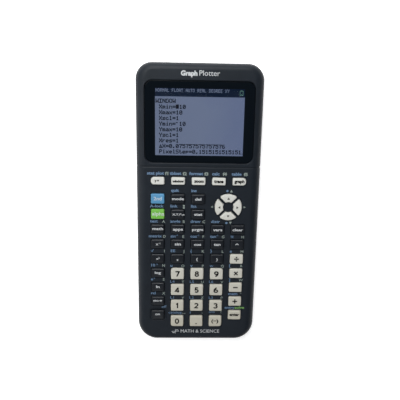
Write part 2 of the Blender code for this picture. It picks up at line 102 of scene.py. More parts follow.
# Window and display
PANE_LOW, PANE_HIGH = cad("display_window")
DISPLAY_Y = (PANE_LOW[1] + PANE_HIGH[1]) / 2
WINDOW_SIZE = (PANE_HIGH[0] - PANE_LOW[0], PANE_HIGH[1] - PANE_LOW[1])
WINDOW_CORNER = 4.8
PANEL_TOP_Z = cad("display_module")[1][2]
LEDGE_SIZE = (74.0, 55.0)
LEDGE_Z = 12.6
VIEW_SIZE = (61.0, 46.6)
CREASE_Y = PANE_LOW[1] - 3.4
PICTURE_SIZE = (57.6, 43.2)
PICTURE_DOTS = (320, 240)
DOT = PICTURE_SIZE[0] / PICTURE_DOTS[0]

# Keys
FLANGE_MARGIN = 0.9
KEY_CLEARANCE = 0.3
KEY_CORNER = 0.8
FLANGE_Z = (cad("key_5")[0][2], CEILING_Z - GAP)
KEY_TOP_Z = cad("key_5")[1][2]
INK = 0.02
CAP_TOP_Z = KEY_TOP_Z - INK
CROWN = 0.05
DISH_SIZE = (10.1, 8.3)
ARROW_RADII = (3.6, 9.0)
ARROW_GAP = 1.9
ARROW_CORNER = 0.55
ARROWS = {"key_right": 0, "key_up": 90, "key_left": 180, "key_down": 270}

# Back
BAY_SIZE = (36.8, 54.8)
BAY_Y = -30.1
BAY_WALL_Z = 2.9
COVER_PAD_SIZE = (49.0, 74.0)
COVER_SIZE = (42.0, 66.0)
COVER_Y = -32.5
COVER_THICKNESS = 1.1
COVER_CORNER = 3.0
COVER_SCREW_Y = COVER_Y - COVER_SIZE[1] / 2 + 4.0
TAB_X = 11.0
TAB_Y = COVER_Y + COVER_SIZE[1] / 2
RESET = [sum(values) / 2 for values in zip(*cad("reset_button"))]
FEET = [(side * 29.0, y) for y in (78.0, -80.0) for side in (-1, 1)]
FOOT_RADIUS = 4.0
RAIL_DEPTH = 0.5
RAIL_LENGTH = 150.0
RAIL_Y = 2.0
RAIL_Z = (5.2, 6.3)
LABEL_RECESS = (46.0, 22.0)
LABEL_Y = 56.0
SOCKET_X = (13.6, 22.4)
SOCKET_LOW_Z = 3.9
CHARGE_LIGHT_X = 8.0
CHARGE_LIGHT_Z = 6.1


# --- materials ---


def linear(red, green, blue):
    """A colour from display values out of 255."""
    values = [channel / 255 for channel in (red, green, blue)]
    return tuple(v / 12.92 if v <= 0.04045 else ((v + 0.055) / 1.055) ** 2.4 for v in values)


class Nodes:
    """A material's node tree with short calls for the nodes used here."""

    def __init__(self, name):
        self.material = bpy.data.materials.new(name)
        self.material.use_nodes = True
        self.tree = self.material.node_tree
        self.shader = self.tree.nodes["Principled BSDF"]
        self.place = self.add("ShaderNodeTexCoord").outputs["Object"]

    def add(self, kind, **settings):
        node = self.tree.nodes.new(kind)
        for key, value in settings.items():
            setattr(node, key, value)
        return node

    def link(self, output, socket):
        self.tree.links.new(output, socket)

    def noise(self, grain, detail=2.0, roughness=0.5):
        """Noise whose features are about grain millimetres across."""
        node = self.add("ShaderNodeTexNoise")
        node.inputs["Scale"].default_value = 1 / (grain * MM)
        node.inputs["Detail"].default_value = detail
        node.inputs["Roughness"].default_value = roughness
        self.link(self.place, node.inputs["Vector"])
        return node.outputs["Fac"]

    def ramp(self, value, *stops):
        """Colour stops as (position, colour)."""
        node = self.add("ShaderNodeValToRGB")
        for i, (position, colour) in enumerate(stops):
            stop = node.color_ramp.elements[i] if i < 2 else node.color_ramp.elements.new(position)
            stop.position = position
            stop.color = (*colour, 1.0)
        self.link(value, node.inputs["Fac"])
        return node.outputs["Color"]

    def remap(self, value, source, target):
        node = self.add("ShaderNodeMapRange")
        for name, number in zip(("From Min", "From Max", "To Min", "To Max"), (*source, *target)):
            node.inputs[name].default_value = number
        self.link(value, node.inputs["Value"])
        return node.outputs["Result"]

    def uneven(self, grain, low, high, detail=2.0, roughness=0.5):
        """A number that drifts between two values over about grain millimetres."""
        return self.remap(self.noise(grain, detail, roughness), (0.3, 0.7), (low, high))

    def math(self, operation, first, second):
        node = self.add("ShaderNodeMath", operation=operation)
        for socket, value in zip(node.inputs, (first, second)):
            if isinstance(value, (int, float)):
                socket.default_value = value
            else:
                self.link(value, socket)
        return node.outputs["Value"]

    def mix(self, factor, first, second):
        """Two colours mixed by a factor."""
        node = self.add("ShaderNodeMix", data_type="RGBA")
        self.link(factor, node.inputs[0])
        for socket, colour in ((node.inputs[6], first), (node.inputs[7], second)):
            if isinstance(colour, tuple):
                socket.default_value = (*colour, 1.0)
            else:
                self.link(colour, socket)
        return node.outputs[2]

    def axes(self):
        """The place along X, Y and Z, in millimetres."""
        scaled = self.add("ShaderNodeVectorMath", operation="SCALE")
        scaled.inputs["Scale"].default_value = 1 / MM
        self.link(self.place, scaled.inputs[0])
        split = self.add("ShaderNodeSeparateXYZ")
        self.link(scaled.outputs["Vector"], split.inputs["Vector"])
        return split.outputs["X"], split.outputs["Y"], split.outputs["Z"]

    def bump(self, height, depth):
        """Relief from a height signal, depth in millimetres."""
        node = self.add("ShaderNodeBump")
        node.inputs["Strength"].default_value = 1.0
        node.inputs["Distance"].default_value = depth * MM
        self.link(height, node.inputs["Height"])
        return node.outputs["Normal"]

    def finish(self, colour=None, roughness=None, normal=None, **fixed):
        for name, source in (("Base Color", colour), ("Roughness", roughness), ("Normal", normal)):
            if source is None:
                continue
            if isinstance(source, tuple):
                self.shader.inputs[name].default_value = (*source, 1.0)
            elif isinstance(source, float):
                self.shader.inputs[name].default_value = source
            else:
                self.link(source, self.shader.inputs[name])
        for name, value in fixed.items():
            self.shader.inputs[name.replace("_", " ")].default_value = value
        return self.material


def shade(colour, factor):
    return tuple(channel * factor for channel in colour)


def moulded(name, colour, roughness, grain=0.22, relief=0.012, vary=0.08, level=0.4):
    """Moulded plastic: a fine spark-eroded grain, cloudy gloss from handling, faint colour drift."""
    nodes = Nodes(name)
    colour = linear(*colour)
    cloud = nodes.noise(9.0, 4.0, 0.6)
    tint = nodes.ramp(cloud, (0.3, shade(colour, 1 - vary)), (0.7, shade(colour, 1 + vary)))
    gloss = nodes.uneven(4.0, roughness - 0.06, roughness + 0.06, 5.0, 0.65)
    normal = nodes.bump(nodes.noise(grain, 3.0, 0.6), relief)
    return nodes.finish(tint, gloss, normal, Specular_IOR_Level=level)


def light_plastic():
    """The light keys' plastic: off-white, with painted shade, darker and warmer towards the lower rows.
    """
    nodes = Nodes("key_light")
    _, y, _ = nodes.axes()
    along = nodes.math("ADD", y, nodes.uneven(9.0, -4.0, 4.0, 4.0, 0.6))
    # Painted shade: darker and warmer from the top rows down, standing in for the light falling off down
    # the keypad
    painted_falloff = nodes.remap(along, (-88.0, 20.0), (0.0, 1.0))
    tint = nodes.ramp(painted_falloff, (0.0, linear(191, 187, 172)), (1.0, linear(212, 213, 207)))
    gloss = nodes.uneven(4.0, 0.44, 0.56, 5.0, 0.65)
    normal = nodes.bump(nodes.noise(0.22, 3.0, 0.6), 0.006)
    return nodes.finish(tint, gloss, normal, Specular_IOR_Level=0.32)


def case_plastic():
    """The case's dark slate plastic: faint clouding, fine pale specks and an eroded grain."""
    nodes = Nodes("case_plastic")
    base = linear(27, 33, 40)
    cloud = nodes.noise(14.0, 4.0, 0.6)
    tint = nodes.ramp(cloud, (0.3, shade(base, 0.88)), (0.7, shade(base, 1.12)))
    specks = nodes.remap(nodes.noise(0.35, 1.0), (0.66, 0.8), (0.0, 0.3))
    tint = nodes.mix(specks, tint, shade(base, 1.8))
    gloss = nodes.uneven(5.0, 0.46, 0.52, 5.0, 0.65)
    normal = nodes.bump(nodes.noise(0.3, 3.0, 0.6), 0.018)
    return nodes.finish(tint, gloss, normal, Specular_IOR_Level=0.22)


def window_glass():
    """Clear over the picture and black over the printed border, with faint smears.
    The low refractive index stands for its anti-glare coating."""
    nodes = Nodes("window_glass")
    x, y, _ = nodes.axes()
    edges = []
    for place, middle, reach in ((x, 0.0, PICTURE_SIZE[0] / 2), (y, DISPLAY_Y, PICTURE_SIZE[1] / 2)):
        away = nodes.math("ABSOLUTE", nodes.math("SUBTRACT", place, middle), 0.0)
        edges.append(nodes.remap(away, (reach - 0.2, reach - 0.1), (1.0, 0.0)))
    clear = nodes.math("MULTIPLY", *edges)
    nodes.link(clear, nodes.shader.inputs["Transmission Weight"])
    tint = nodes.mix(nodes.math("POWER", clear, 12.0), (0.0034, 0.0054, 0.0079), (1.0, 1.0, 1.0))
    gloss = nodes.remap(nodes.noise(12.0, 6.0, 0.7), (0.45, 0.75), (0.02, 0.14))
    return nodes.finish(tint, gloss, IOR=1.2)


def printed(name, colour, level=0.3):
    """Screen-printed ink: slightly uneven in density and edge gloss."""
    nodes = Nodes(name)
    colour = linear(*colour)
    density = nodes.noise(0.4, 3.0, 0.6)
    tint = nodes.ramp(density, (0.25, shade(colour, 0.86)), (0.65, colour))
    gloss = nodes.uneven(1.5, 0.37, 0.53)
    return nodes.finish(tint, gloss, nodes.bump(density, 0.004), Specular_IOR_Level=level)


def lit(name, *colours):
    """The lit picture: colours that follow from left to right, with the panel's fine dot grid."""
    nodes = Nodes(name)
    colours = [linear(*colour) for colour in colours]
    x, y, _ = nodes.axes()
    across = nodes.remap(x, (-PICTURE_SIZE[0] / 2, PICTURE_SIZE[0] / 2), (0.0, 1.0))
    drift = nodes.math("ADD", across, nodes.uneven(16.0, -0.12, 0.12))
    stops = [(0.0, colours[0]), (1.0, colours[-1]), *((0.5, middle) for middle in colours[1:-1])]
    tint = nodes.ramp(drift, *stops)
    turns = [nodes.math("MULTIPLY", place, 2 * math.pi / DOT) for place in (x, y)]
    grid = nodes.math("ADD", *(nodes.math("SINE", turn, 0.0) for turn in turns))
    glow = nodes.mix(nodes.remap(grid, (-2.0, 2.0), (0.0, 1.0)), tint, shade(colours[-1], 0.97))
    nodes.link(glow, nodes.shader.inputs["Emission Color"])
    gloss = nodes.uneven(6.0, 0.3, 0.45)
    return nodes.finish((0.004, 0.004, 0.005), gloss, Specular_IOR_Level=0.03, Emission_Strength=1.0)


def solder_board():
    """Green board with copper tracks; dark chips below it and a bright metal socket at its end."""
    nodes = Nodes("board")
    _, y, z = nodes.axes()
    tracks = nodes.add("ShaderNodeTexBrick", offset=0.5)
    tracks.inputs["Scale"].default_value = 1 / (2.4 * MM)
    tracks.inputs["Mortar Size"].default_value = 0.12
    greens = {"Color1": (18, 84, 52), "Color2": (22, 96, 58), "Mortar": (60, 132, 84)}
    for part, colour in greens.items():
        tracks.inputs[part].default_value = (*linear(*colour), 1.0)
    nodes.link(nodes.place, tracks.inputs["Vector"])
    chip = nodes.remap(z, (8.1, 8.2), (1.0, 0.0))
    socket = nodes.remap(y, (86.7, 86.8), (0.0, 1.0))
    tint = nodes.mix(chip, tracks.outputs["Color"], linear(28, 28, 30))
    tint = nodes.mix(socket, tint, linear(178, 178, 182))
    nodes.link(nodes.math("MULTIPLY", socket, chip), nodes.shader.inputs["Metallic"])
    return nodes.finish(tint, nodes.uneven(3.0, 0.28, 0.42), nodes.bump(nodes.noise(0.8), 0.02))


def steel(name, colour=(0.6, 0.6, 0.62)):
    """Bare metal with fine scratches."""
    nodes = Nodes(name)
    scratches = nodes.noise(0.5, 6.0, 0.7)
    tint = nodes.ramp(scratches, (0.3, shade(colour, 0.75)), (0.7, colour))
    gloss = nodes.remap(scratches, (0.3, 0.7), (0.25, 0.45))
    return nodes.finish(tint, gloss, nodes.bump(scratches, 0.01), Metallic=1.0)


def battery_wrap():
    """The battery's dark wrap with a pale label half."""
    nodes = Nodes("battery")
    _, y, _ = nodes.axes()
    band = nodes.remap(y, (-6.0, -5.8), (0.0, 1.0))
    tint = nodes.mix(band, linear(40, 42, 46), linear(150, 152, 156))
    gloss = nodes.uneven(2.0, 0.35, 0.55, 4.0)
    return nodes.finish(tint, gloss, nodes.bump(nodes.noise(4.0, 4.0), 0.05))


MATERIALS = {
    "case": case_plastic(),
    "cap_dark": moulded("key_dark", (23, 27, 33), 0.38, grain=0.3, relief=0.01, level=0.36),
    "cap_light": light_plastic(),
    "cap_blue": moulded("key_blue", (86, 145, 186), 0.46, vary=0.05, level=0.32),
    "cap_green": moulded("key_green", (116, 184, 76), 0.46, vary=0.05, level=0.32),
    "glass": window_glass(),
    "border": moulded("window_border", (4, 6, 9), 0.45, relief=0.002, level=0.1),
    "picture": lit("picture", (104, 115, 133), (108, 119, 141), (95, 107, 137)),
    "status": lit("status_bar", (24, 34, 52), (12, 25, 44)),
    "picture_ink": lit("picture_ink", (6, 8, 16), (6, 8, 18)),
    "cursor": lit("picture_cursor", (14, 16, 26)),
    "status_ink": lit("status_ink", (107, 117, 140), (105, 117, 142)),
    "status_battery": lit("status_battery", (96, 136, 126)),
    "white_ink": printed("white_ink", (206, 210, 212)),
    "mark_ink": printed("mark_ink", (200, 204, 206)),
    "dark_ink": printed("dark_ink", (20, 19, 18), level=0.12),
    "blue_ink": printed("blue_ink", (106, 133, 163)),
    "letter_ink": printed("letter_ink", (142, 154, 148)),
    "green_ink": printed("green_ink", (122, 176, 96)),
    "rubber": moulded("rubber", (52, 52, 54), 0.75, grain=0.4, relief=0.02),
    "mat": moulded("mat_rubber", (74, 76, 80), 0.7, grain=0.6, relief=0.02),
    "steel": steel("screw_steel"),
    "panel_metal": steel("panel_metal", (0.42, 0.43, 0.45)),
    "board": solder_board(),
    "battery": battery_wrap(),
    "lens": moulded("charge_lens", (120, 132, 112), 0.2, grain=0.8, relief=0.004, level=0.5),
}


# --- making pieces ---


def bow(x, y, reach_x, reach_y, start, end, steps=14):
    """Points on part of an ellipse, angles in degrees, both ends included."""
    points = []
    for i in range(steps + 1):
        angle = math.radians(start + (end - start) * i / steps)
        points.append((x + reach_x * math.cos(angle), y + reach_y * math.sin(angle)))
    return points


def arc(centre, radius, start, end, steps):
    return bow(*centre, radius, radius, start, end, steps)


def circle(x, y, radius, steps=32):
    return arc((x, y), radius, 0, 360 * (steps - 1) / steps, steps - 1)


def box_outline(centre, size, corner, steps=6):
    """A rectangle with rounded corners; four radii go bottom left, bottom right, top right, top left."""
    radii = corner if isinstance(corner, tuple) else (corner,) * 4
    points = []
    for i, (across, up) in enumerate(((-1, -1), (1, -1), (1, 1), (-1, 1))):
        x = centre[0] + across * (size[0] / 2 - radii[i])
        y = centre[1] + up * (size[1] / 2 - radii[i])
        points += arc((x, y), radii[i], 180 + 90 * i, 270 + 90 * i, steps)
    return points


def case_outline(inset_x, inset_y=None):
    """The case's outline drawn in from its sides and, where they differ, its ends."""
    inset_y = inset_x if inset_y is None else inset_y
    less = (inset_x + inset_y) / 2
    radii = (BOTTOM_CORNER - less,) * 2 + (TOP_CORNER - less,) * 2
    return box_outline((0, 0), (CASE_WIDTH - 2 * inset_x, CASE_LENGTH - 2 * inset_y), radii, 16)


def quarter(steps):
    """A quarter of a circle from its side to its top, as (up, in from the side) pairs of 0 to 1."""
    angles = [math.pi / 2 * i / steps for i in range(steps + 1)]
    return [(math.sin(a), 1 - math.cos(a)) for a in angles]


def prism(outline, low, high):
    """The sections of a straight solid between two heights."""
    return [(outline, low), (outline, high)]


def boxes(centre, size, corner, levels, steps=6):
    """Rounded boxes as sections, each grown on every side, from (growth, z) levels."""
    sections = []
    for growth, z in levels:
        grown = [side + 2 * growth for side in size]
        sections.append((box_outline(centre, grown, corner + growth, steps), z))
    return sections


def rounds(x, y, levels):
    """Circles as sections from (radius, z) levels."""
    return [(circle(x, y, radius), z) for radius, z in levels]


def add_stack(mesh, sections):
    """A closed solid through (outline, z) sections with equal point counts."""
    rings = []
    for outline, z in sections:
        rings.append([mesh.verts.new((x, y, z)) for x, y in outline])
    bridge(mesh, rings)
    mesh.faces.new(list(reversed(rings[0])))
    mesh.faces.new(rings[-1])


def bridge(mesh, rings):
    """Four-sided faces between each ring of corners and the next."""
    for lower, upper in zip(rings, rings[1:]):
        for i in range(len(lower)):
            j = (i + 1) % len(lower)
            mesh.faces.new((lower[i], lower[j], upper[j], upper[i]))


def solids(*list_of_sections):
    """A bmesh with one closed solid for each list of sections."""
    mesh = bmesh.new()
    for sections in list_of_sections:
        add_stack(mesh, sections)
    return mesh


def object_from(name, mesh, look=None):
    """An object in metres from a bmesh in millimetres."""
    bmesh.ops.recalc_face_normals(mesh, faces=mesh.faces)
    bmesh.ops.scale(mesh, vec=(MM, MM, MM), verts=mesh.verts)
    data = bpy.data.meshes.new(name)
    mesh.to_mesh(data)
    mesh.free()
    made = bpy.data.objects.new(name, data)
    bpy.context.scene.collection.objects.link(made)
    if look:
        data.materials.append(MATERIALS[look])
    return made


def smooth(made, angle):
    """Smooth shading with sharp edges over an angle, and flat faces kept flat."""
    mesh = bmesh.new()
    mesh.from_mesh(made.data)
    limit = math.radians(angle)
    for edge in mesh.edges:
        edge.smooth = len(edge.link_faces) == 2 and edge.calc_face_angle(0) < limit
    for face in mesh.faces:
        face.smooth = True
    mesh.to_mesh(made.data)
    mesh.free()
    even = made.modifiers.new("even_normals", "WEIGHTED_NORMAL")
    even.keep_sharp = True
    even.weight = 90


def boolean(target, mesh, operation="DIFFERENCE"):
    """Cuts a bmesh out of an object, or joins it on."""
    helper = object_from("helper", mesh)
    step = target.modifiers.new("boolean", "BOOLEAN")
    step.operation = operation
    step.solver = "EXACT"
    step.object = helper
    bpy.context.view_layer.update()
    evaluated = target.evaluated_get(bpy.context.evaluated_depsgraph_get())
    result = bpy.data.meshes.new_from_object(evaluated)
    target.modifiers.remove(step)
    target.data = result
    bpy.data.objects.remove(helper)


def cut(target, *list_of_sections):
    boolean(target, solids(*list_of_sections))


def join(target, *list_of_sections):
    boolean(target, solids(*list_of_sections), "UNION")


def piece(made, body=ROOT, stands_for=(), angle=32):
    """Shades a finished object and hands it to its body."""
    smooth(made, angle)
    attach(made, body)
    if stands_for:
        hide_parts(*stands_for)


# --- lettering ---

WELD = 1e-4


def weld(mesh):
    """Joins the faces and sides of lettering into closed solids."""
    closed = bmesh.new()
    closed.from_mesh(mesh)
    bmesh.ops.remove_doubles(closed, verts=closed.verts, dist=WELD)
    bmesh.ops.dissolve_degenerate(closed, edges=closed.edges, dist=WELD)
    stray = [vertex for vertex in closed.verts if not vertex.link_faces]
    bmesh.ops.delete(closed, geom=stray, context="VERTS")
    closed.to_mesh(mesh)
    closed.free()


def glyphs(text, size, bold=0.0):
    """A mesh of a line of text with its lower left corner near the origin, and its box."""
    curve = bpy.data.curves.new("lettering", "FONT")
    curve.body = text
    curve.size = size
    curve.offset = bold * size
    curve.resolution_u = 3
    curve.extrude = INK / 2
    holder = bpy.data.objects.new("lettering", curve)
    bpy.context.scene.collection.objects.link(holder)
    bpy.context.view_layer.update()
    mesh = bpy.data.meshes.new_from_object(holder)
    bpy.data.objects.remove(holder)
    bpy.data.curves.remove(curve)
    weld(mesh)
    xs = [vertex.co.x for vertex in mesh.vertices]
    ys = [vertex.co.y for vertex in mesh.vertices]
    return mesh, (min(xs), min(ys), max(xs), max(ys))


class Ink:
    """Lettering and small marks that are printed together in one colour at one height."""

    def __init__(self, z):
        self.mesh = bmesh.new()
        self.z = z

    def write(self, text, x, y, size, align="centre", bold=0.02, width=None, centred=False,
              facing=1, squeeze=1.0):
        """Text whose baseline is at y, or with its middle there where it is centred.
        Facing is -1 for text that is read from below, and squeeze scales its height."""
        mesh, (left, low, right, high) = glyphs(text, size, bold)
        scale = width / (right - left) if width else 1.0
        shift_x = {"left": -left, "centre": -(left + right) / 2, "right": -right}[align]
        shift_y = -(low + high) / 2 if centred else 0.0
        stretch = Matrix.Diagonal((scale * facing, scale * squeeze, 1, 1))
        place = Matrix.Translation((x, y, self.z + INK / 2)) @ stretch
        mesh.transform(place @ Matrix.Translation((shift_x, shift_y, 0)))
        self.mesh.from_mesh(mesh)
        bpy.data.meshes.remove(mesh)

    def mark(self, outline):
        add_stack(self.mesh, prism(outline, self.z, self.z + INK))

    def stroke(self, points, width, closed=False):
        """A line of even width along points, with mitred corners."""
        steps = [Vector(b) - Vector(a) for a, b in zip(points, points[1:] + points[:1])]
        rings = []
        for i, (x, y) in enumerate(points):
            before = steps[i - 1] if closed or i else steps[0]
            after = steps[i] if closed or i < len(points) - 1 else steps[i - 1]
            before, after = before.normalized(), after.normalized()
            middle = (before + after).normalized()
            reach = width / 2 / max(middle.dot(after), 0.5)
            side_x, side_y = -middle.y * reach, middle.x * reach
            left, right = (x + side_x, y + side_y), (x - side_x, y - side_y)
            corners = ((*left, self.z), (*right, self.z), (*right, self.z + INK), (*left, self.z + INK))
            rings.append([self.mesh.verts.new(corner) for corner in corners])
        if closed:
            bridge(self.mesh, rings + rings[:1])
            return
        bridge(self.mesh, rings)
        self.mesh.faces.new(rings[0])
        self.mesh.faces.new(rings[-1])

    def bar(self, x0, y0, x1, y1):
        self.mark([(x0, y0), (x1, y0), (x1, y1), (x0, y1)])

    def piece(self, name, look, body=ROOT, slot=None):
        """Turns every top and bottom outwards and hands the marks over as one piece."""
        made = object_from(name, self.mesh, look)
        turned = bmesh.new()
        turned.from_mesh(made.data)
        for face in turned.faces:
            upper = face.calc_center_median().z > (self.z + INK / 2) * MM
            if abs(face.normal.z) > 0.5 and (face.normal.z > 0) != upper:
                face.normal_flip()
        turned.to_mesh(made.data)
        turned.free()
        piece(made, body, angle=60)


# --- keys ---

LIGHT_KEYS = (
    "y_equals window zoom trace graph up down left right 0 1 2 3 4 5 6 7 8 9 "
    "point negative divide multiply subtract add enter"
).split()
COLOURED_KEYS = {"second": "blue", "alpha": "green"}
LARGE_CORNERS = {
    "y_equals": (2.2, KEY_CORNER, KEY_CORNER, 2.2),
    "graph": (KEY_CORNER, 2.2, 2.2, KEY_CORNER),
    "7": (KEY_CORNER, KEY_CORNER, KEY_CORNER, 1.8),
    "9": (KEY_CORNER, KEY_CORNER, 1.8, KEY_CORNER),
    "0": (1.6, KEY_CORNER, KEY_CORNER, KEY_CORNER),
    "negative": (KEY_CORNER, 1.6, KEY_CORNER, KEY_CORNER),
}
# Legend: text, width in millimetres, and its middle across and up from the key's centre
LEGENDS = {
    "y_equals": ("y =", 2.8, -0.5, -0.15),
    "window": ("window", 7.6, 0.0, 0.0),
    "zoom": ("zoom", 6.4, 0.2, -0.1),
    "trace": ("trace", 6.4, -0.2, 0.1),
    "graph": ("graph", 6.7, 0.0, 0.0),
    "second": ("2nd", 5.2, 0.0, 0.25),
    "mode": ("mode", 8.0, 0.0, 0.25),
    "delete": ("del", 4.2, -0.1, 0.1),
    "alpha": ("alpha", 8.1, 0.3, 0.0),
    "variable": ("X,T,θ,n", 8.0, 0.25, -0.1),
    "stat": ("stat", 5.4, 0.1, 0.05),
    "math": ("math", 7.2, 0.0, 0.5),
    "apps": ("apps", 6.8, 0.1, -0.4),
    "program": ("prgm", 7.4, -0.1, -0.5),
    "vars": ("vars", 6.2, 0.0, -0.3),
    "clear": ("clear", 7.1, 0.1, 0.1),
    "sin": ("sin", 4.1, 0.1, 0.15),
    "cos": ("cos", 4.8, 0.0, -0.25),
    "tan": ("tan", 4.6, -0.1, 0.0),
    "comma": (",", 1.05, 0.0, -0.9),
    "open_bracket": ("(", 1.15, -0.1, -0.3),
    "close_bracket": (")", 1.1, 0.0, -0.4),
    "log": ("log", 4.2, 0.0, 0.1),
    "ln": ("ln", 2.4, 0.0, 0.5),
    "store": ("sto", 3.8, -1.4, 0.5),
    "on": ("on", 3.3, -0.25, 0.5),
    "enter": ("enter", 7.0, 0.0, 0.45),
    "point": (".", 0.95, 0.0, -1.8),
    "negative": ("(−)", 5.0, -0.2, -0.1),
}
SIGNS = ("add", "subtract", "multiply", "divide")
DIGIT_HEIGHT = 3.85
DIGIT_STROKE = 0.93
DIGIT_WIDEN = 1.22
SIGN_STROKE = 0.88


def key_box(name):
    """Centre and cap size of a rectangular key: its CAD box without the hidden flange."""
    low, high = cad("key_" + name)
    centre = ((low[0] + high[0]) / 2, (low[1] + high[1]) / 2)
    return centre, (high[0] - low[0] - 2 * FLANGE_MARGIN, high[1] - low[1] - 2 * FLANGE_MARGIN)


def key_outline(name, margin):
    """A rectangular cap's outline, grown by a margin."""
    centre, size = key_box(name)
    radii = LARGE_CORNERS.get(name, (KEY_CORNER,) * 4)
    radii = tuple(max(radius + margin, 0.12) for radius in radii)
    return box_outline(centre, [side + 2 * margin for side in size], radii)


RECTANGULAR = sorted(
    node[4:]
    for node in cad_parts
    if node.startswith("key_") and node != "key_mat" and node not in ARROWS
)
RING_CENTRE = (
    (cad("key_left")[0][0] + cad("key_right")[1][0]) / 2,
    (cad("key_down")[0][1] + cad("key_up")[1][1]) / 2,
)


def ring_point(forward, aside, turn):
    """A place by its distance from the ring's centre along a direction in degrees and aside from it."""
    angle = math.radians(turn)
    x = forward * math.cos(angle) - aside * math.sin(angle)
    y = forward * math.sin(angle) + aside * math.cos(angle)
    return (RING_CENTRE[0] + x, RING_CENTRE[1] + y)


def arrow_outline(turn, margin):
    """A quarter of the arrow ring, its corners rounded, turned by an angle in degrees."""
    inner = ARROW_RADII[0] - margin
    outer = ARROW_RADII[1] + margin
    corner = max(ARROW_CORNER + margin, 0.1)
    across = ARROW_GAP / 2 - margin + corner

    def rounded(outwards):
        """Both corners on the outer or the inner rim, and the angle that each one takes up."""
        reach = outer - corner if outwards else inner + corner
        distance = math.sqrt(reach ** 2 - across ** 2)
        angle = math.degrees(math.atan2(across, distance))
        start, end = (-90, angle) if outwards else (angle + 180, 270)
        fillet = arc((distance, across), corner, start, end, 5)
        lower = [ring_point(x, y, turn - 45) for x, y in fillet]
        upper = [ring_point(x, -y, turn + 45) for x, y in fillet]
        return lower, upper, angle

    first, last, outer_angle = rounded(True)
    inner_first, inner_last, inner_angle = rounded(False)
    rim = arc(RING_CENTRE, outer, turn - 45 + outer_angle, turn + 45 - outer_angle, 18)[1:-1]
    hollow = arc(RING_CENTRE, inner, turn + 45 - inner_angle, turn - 45 + inner_angle, 8)[1:-1]
    return first + rim + last[::-1] + inner_last[::-1] + hollow + inner_first


def cap_sections(outline, fillet, rise):
    """Hidden flange, straight skirt, rounded top edge and a top that rises slightly in the middle."""
    sections = [*prism(outline(FLANGE_MARGIN), *FLANGE_Z), (outline(0), FLANGE_Z[1])]
    edge_top = CAP_TOP_Z - CROWN
    for up, along in quarter(6):
        sections.append((outline(-fillet * along), edge_top - rise * (1 - up)))
    sections.append((outline(-fillet - 0.5), edge_top + CROWN * 0.6))
    sections.append((outline(-fillet - 1.1), CAP_TOP_Z))
    return sections


def make_cap(name):
    """A key's cap, which stands for its coarse CAD node."""
    if name in COLOURED_KEYS:
        look, fillet, rise = "cap_" + COLOURED_KEYS[name], 0.6, 0.45
    elif name in LIGHT_KEYS:
        look, fillet, rise = "cap_light", 0.55, 0.45
    else:
        look, fillet, rise = "cap_dark", 1.0, 0.6
    node = "key_" + name
    if node in ARROWS:
        def outline(margin):
            return arrow_outline(ARROWS[node], min(margin, 0.35))
    else:
        def outline(margin):
            return key_outline(name, margin)
    made = object_from(node + "_cap", solids(cap_sections(outline, fillet, rise)), look)
    piece(made, node, stands_for=(node,), angle=40)


def loop(x, y, reach_x, reach_y):
    return bow(x, y, reach_x, reach_y, 0, 345, 23)


def digit_strokes(digit):
    """Centre lines of a digit one unit high as (points, closed) pairs."""
    six = [(loop(0.31, 0.305, 0.25, 0.235), True), (bow(0.51, 0.32, 0.45, 0.61, 182, 98), False)]
    five = [(0.54, 0.925), (0.17, 0.925), (0.13, 0.53)] + bow(0.3, 0.32, 0.24, 0.245, 118, -150)
    strokes = {
        "0": [(loop(0.31, 0.5, 0.235, 0.425), True)],
        "1": [([(0.15, 0.75), (0.38, 0.92), (0.38, 0.0)], False)],
        "2": [(bow(0.31, 0.7, 0.235, 0.235, 165, -38) + [(0.08, 0.09), (0.58, 0.09)], False)],
        "3": [
            (bow(0.29, 0.73, 0.235, 0.195, 155, -80), False),
            (bow(0.29, 0.295, 0.265, 0.22, 82, -155), False),
        ],
        "4": [([(0.41, 0.93), (0.06, 0.26), (0.61, 0.26)], False), ([(0.44, 0.98), (0.44, 0.0)], False)],
        "5": [(five, False)],
        "6": six,
        "7": [([(0.04, 0.925), (0.58, 0.925), (0.24, 0.0)], False)],
        "8": [(loop(0.31, 0.735, 0.19, 0.19), True), (loop(0.31, 0.3, 0.235, 0.225), True)],
        "9": [([(0.62 - x, 1 - y) for x, y in points], closed) for points, closed in six],
    }
    return strokes[digit]


def write_digit(ink, digit, x, y):
    """A bold digit about a centre."""
    wide = DIGIT_HEIGHT * DIGIT_WIDEN
    for points, closed in digit_strokes(digit):
        placed = [(x + (px - 0.31) * wide, y + (py - 0.5) * DIGIT_HEIGHT) for px, py in points]
        ink.stroke(placed, DIGIT_STROKE, closed)


def write_sign(ink, name, x, y):
    """The four operators in plain strokes."""
    reach = 1.65
    lean = reach * 0.74
    if name == "multiply":
        ink.stroke([(x - lean, y - lean), (x + lean, y + lean)], SIGN_STROKE)
        ink.stroke([(x - lean, y + lean), (x + lean, y - lean)], SIGN_STROKE)
        return
    ink.stroke([(x - reach, y), (x + reach, y)], SIGN_STROKE)
    if name == "add":
        ink.stroke([(x, y - reach), (x, y + reach)], SIGN_STROKE)
    if name == "divide":
        for side in (-1, 1):
            ink.mark(circle(x, y + side * 1.22, 0.55, 14))


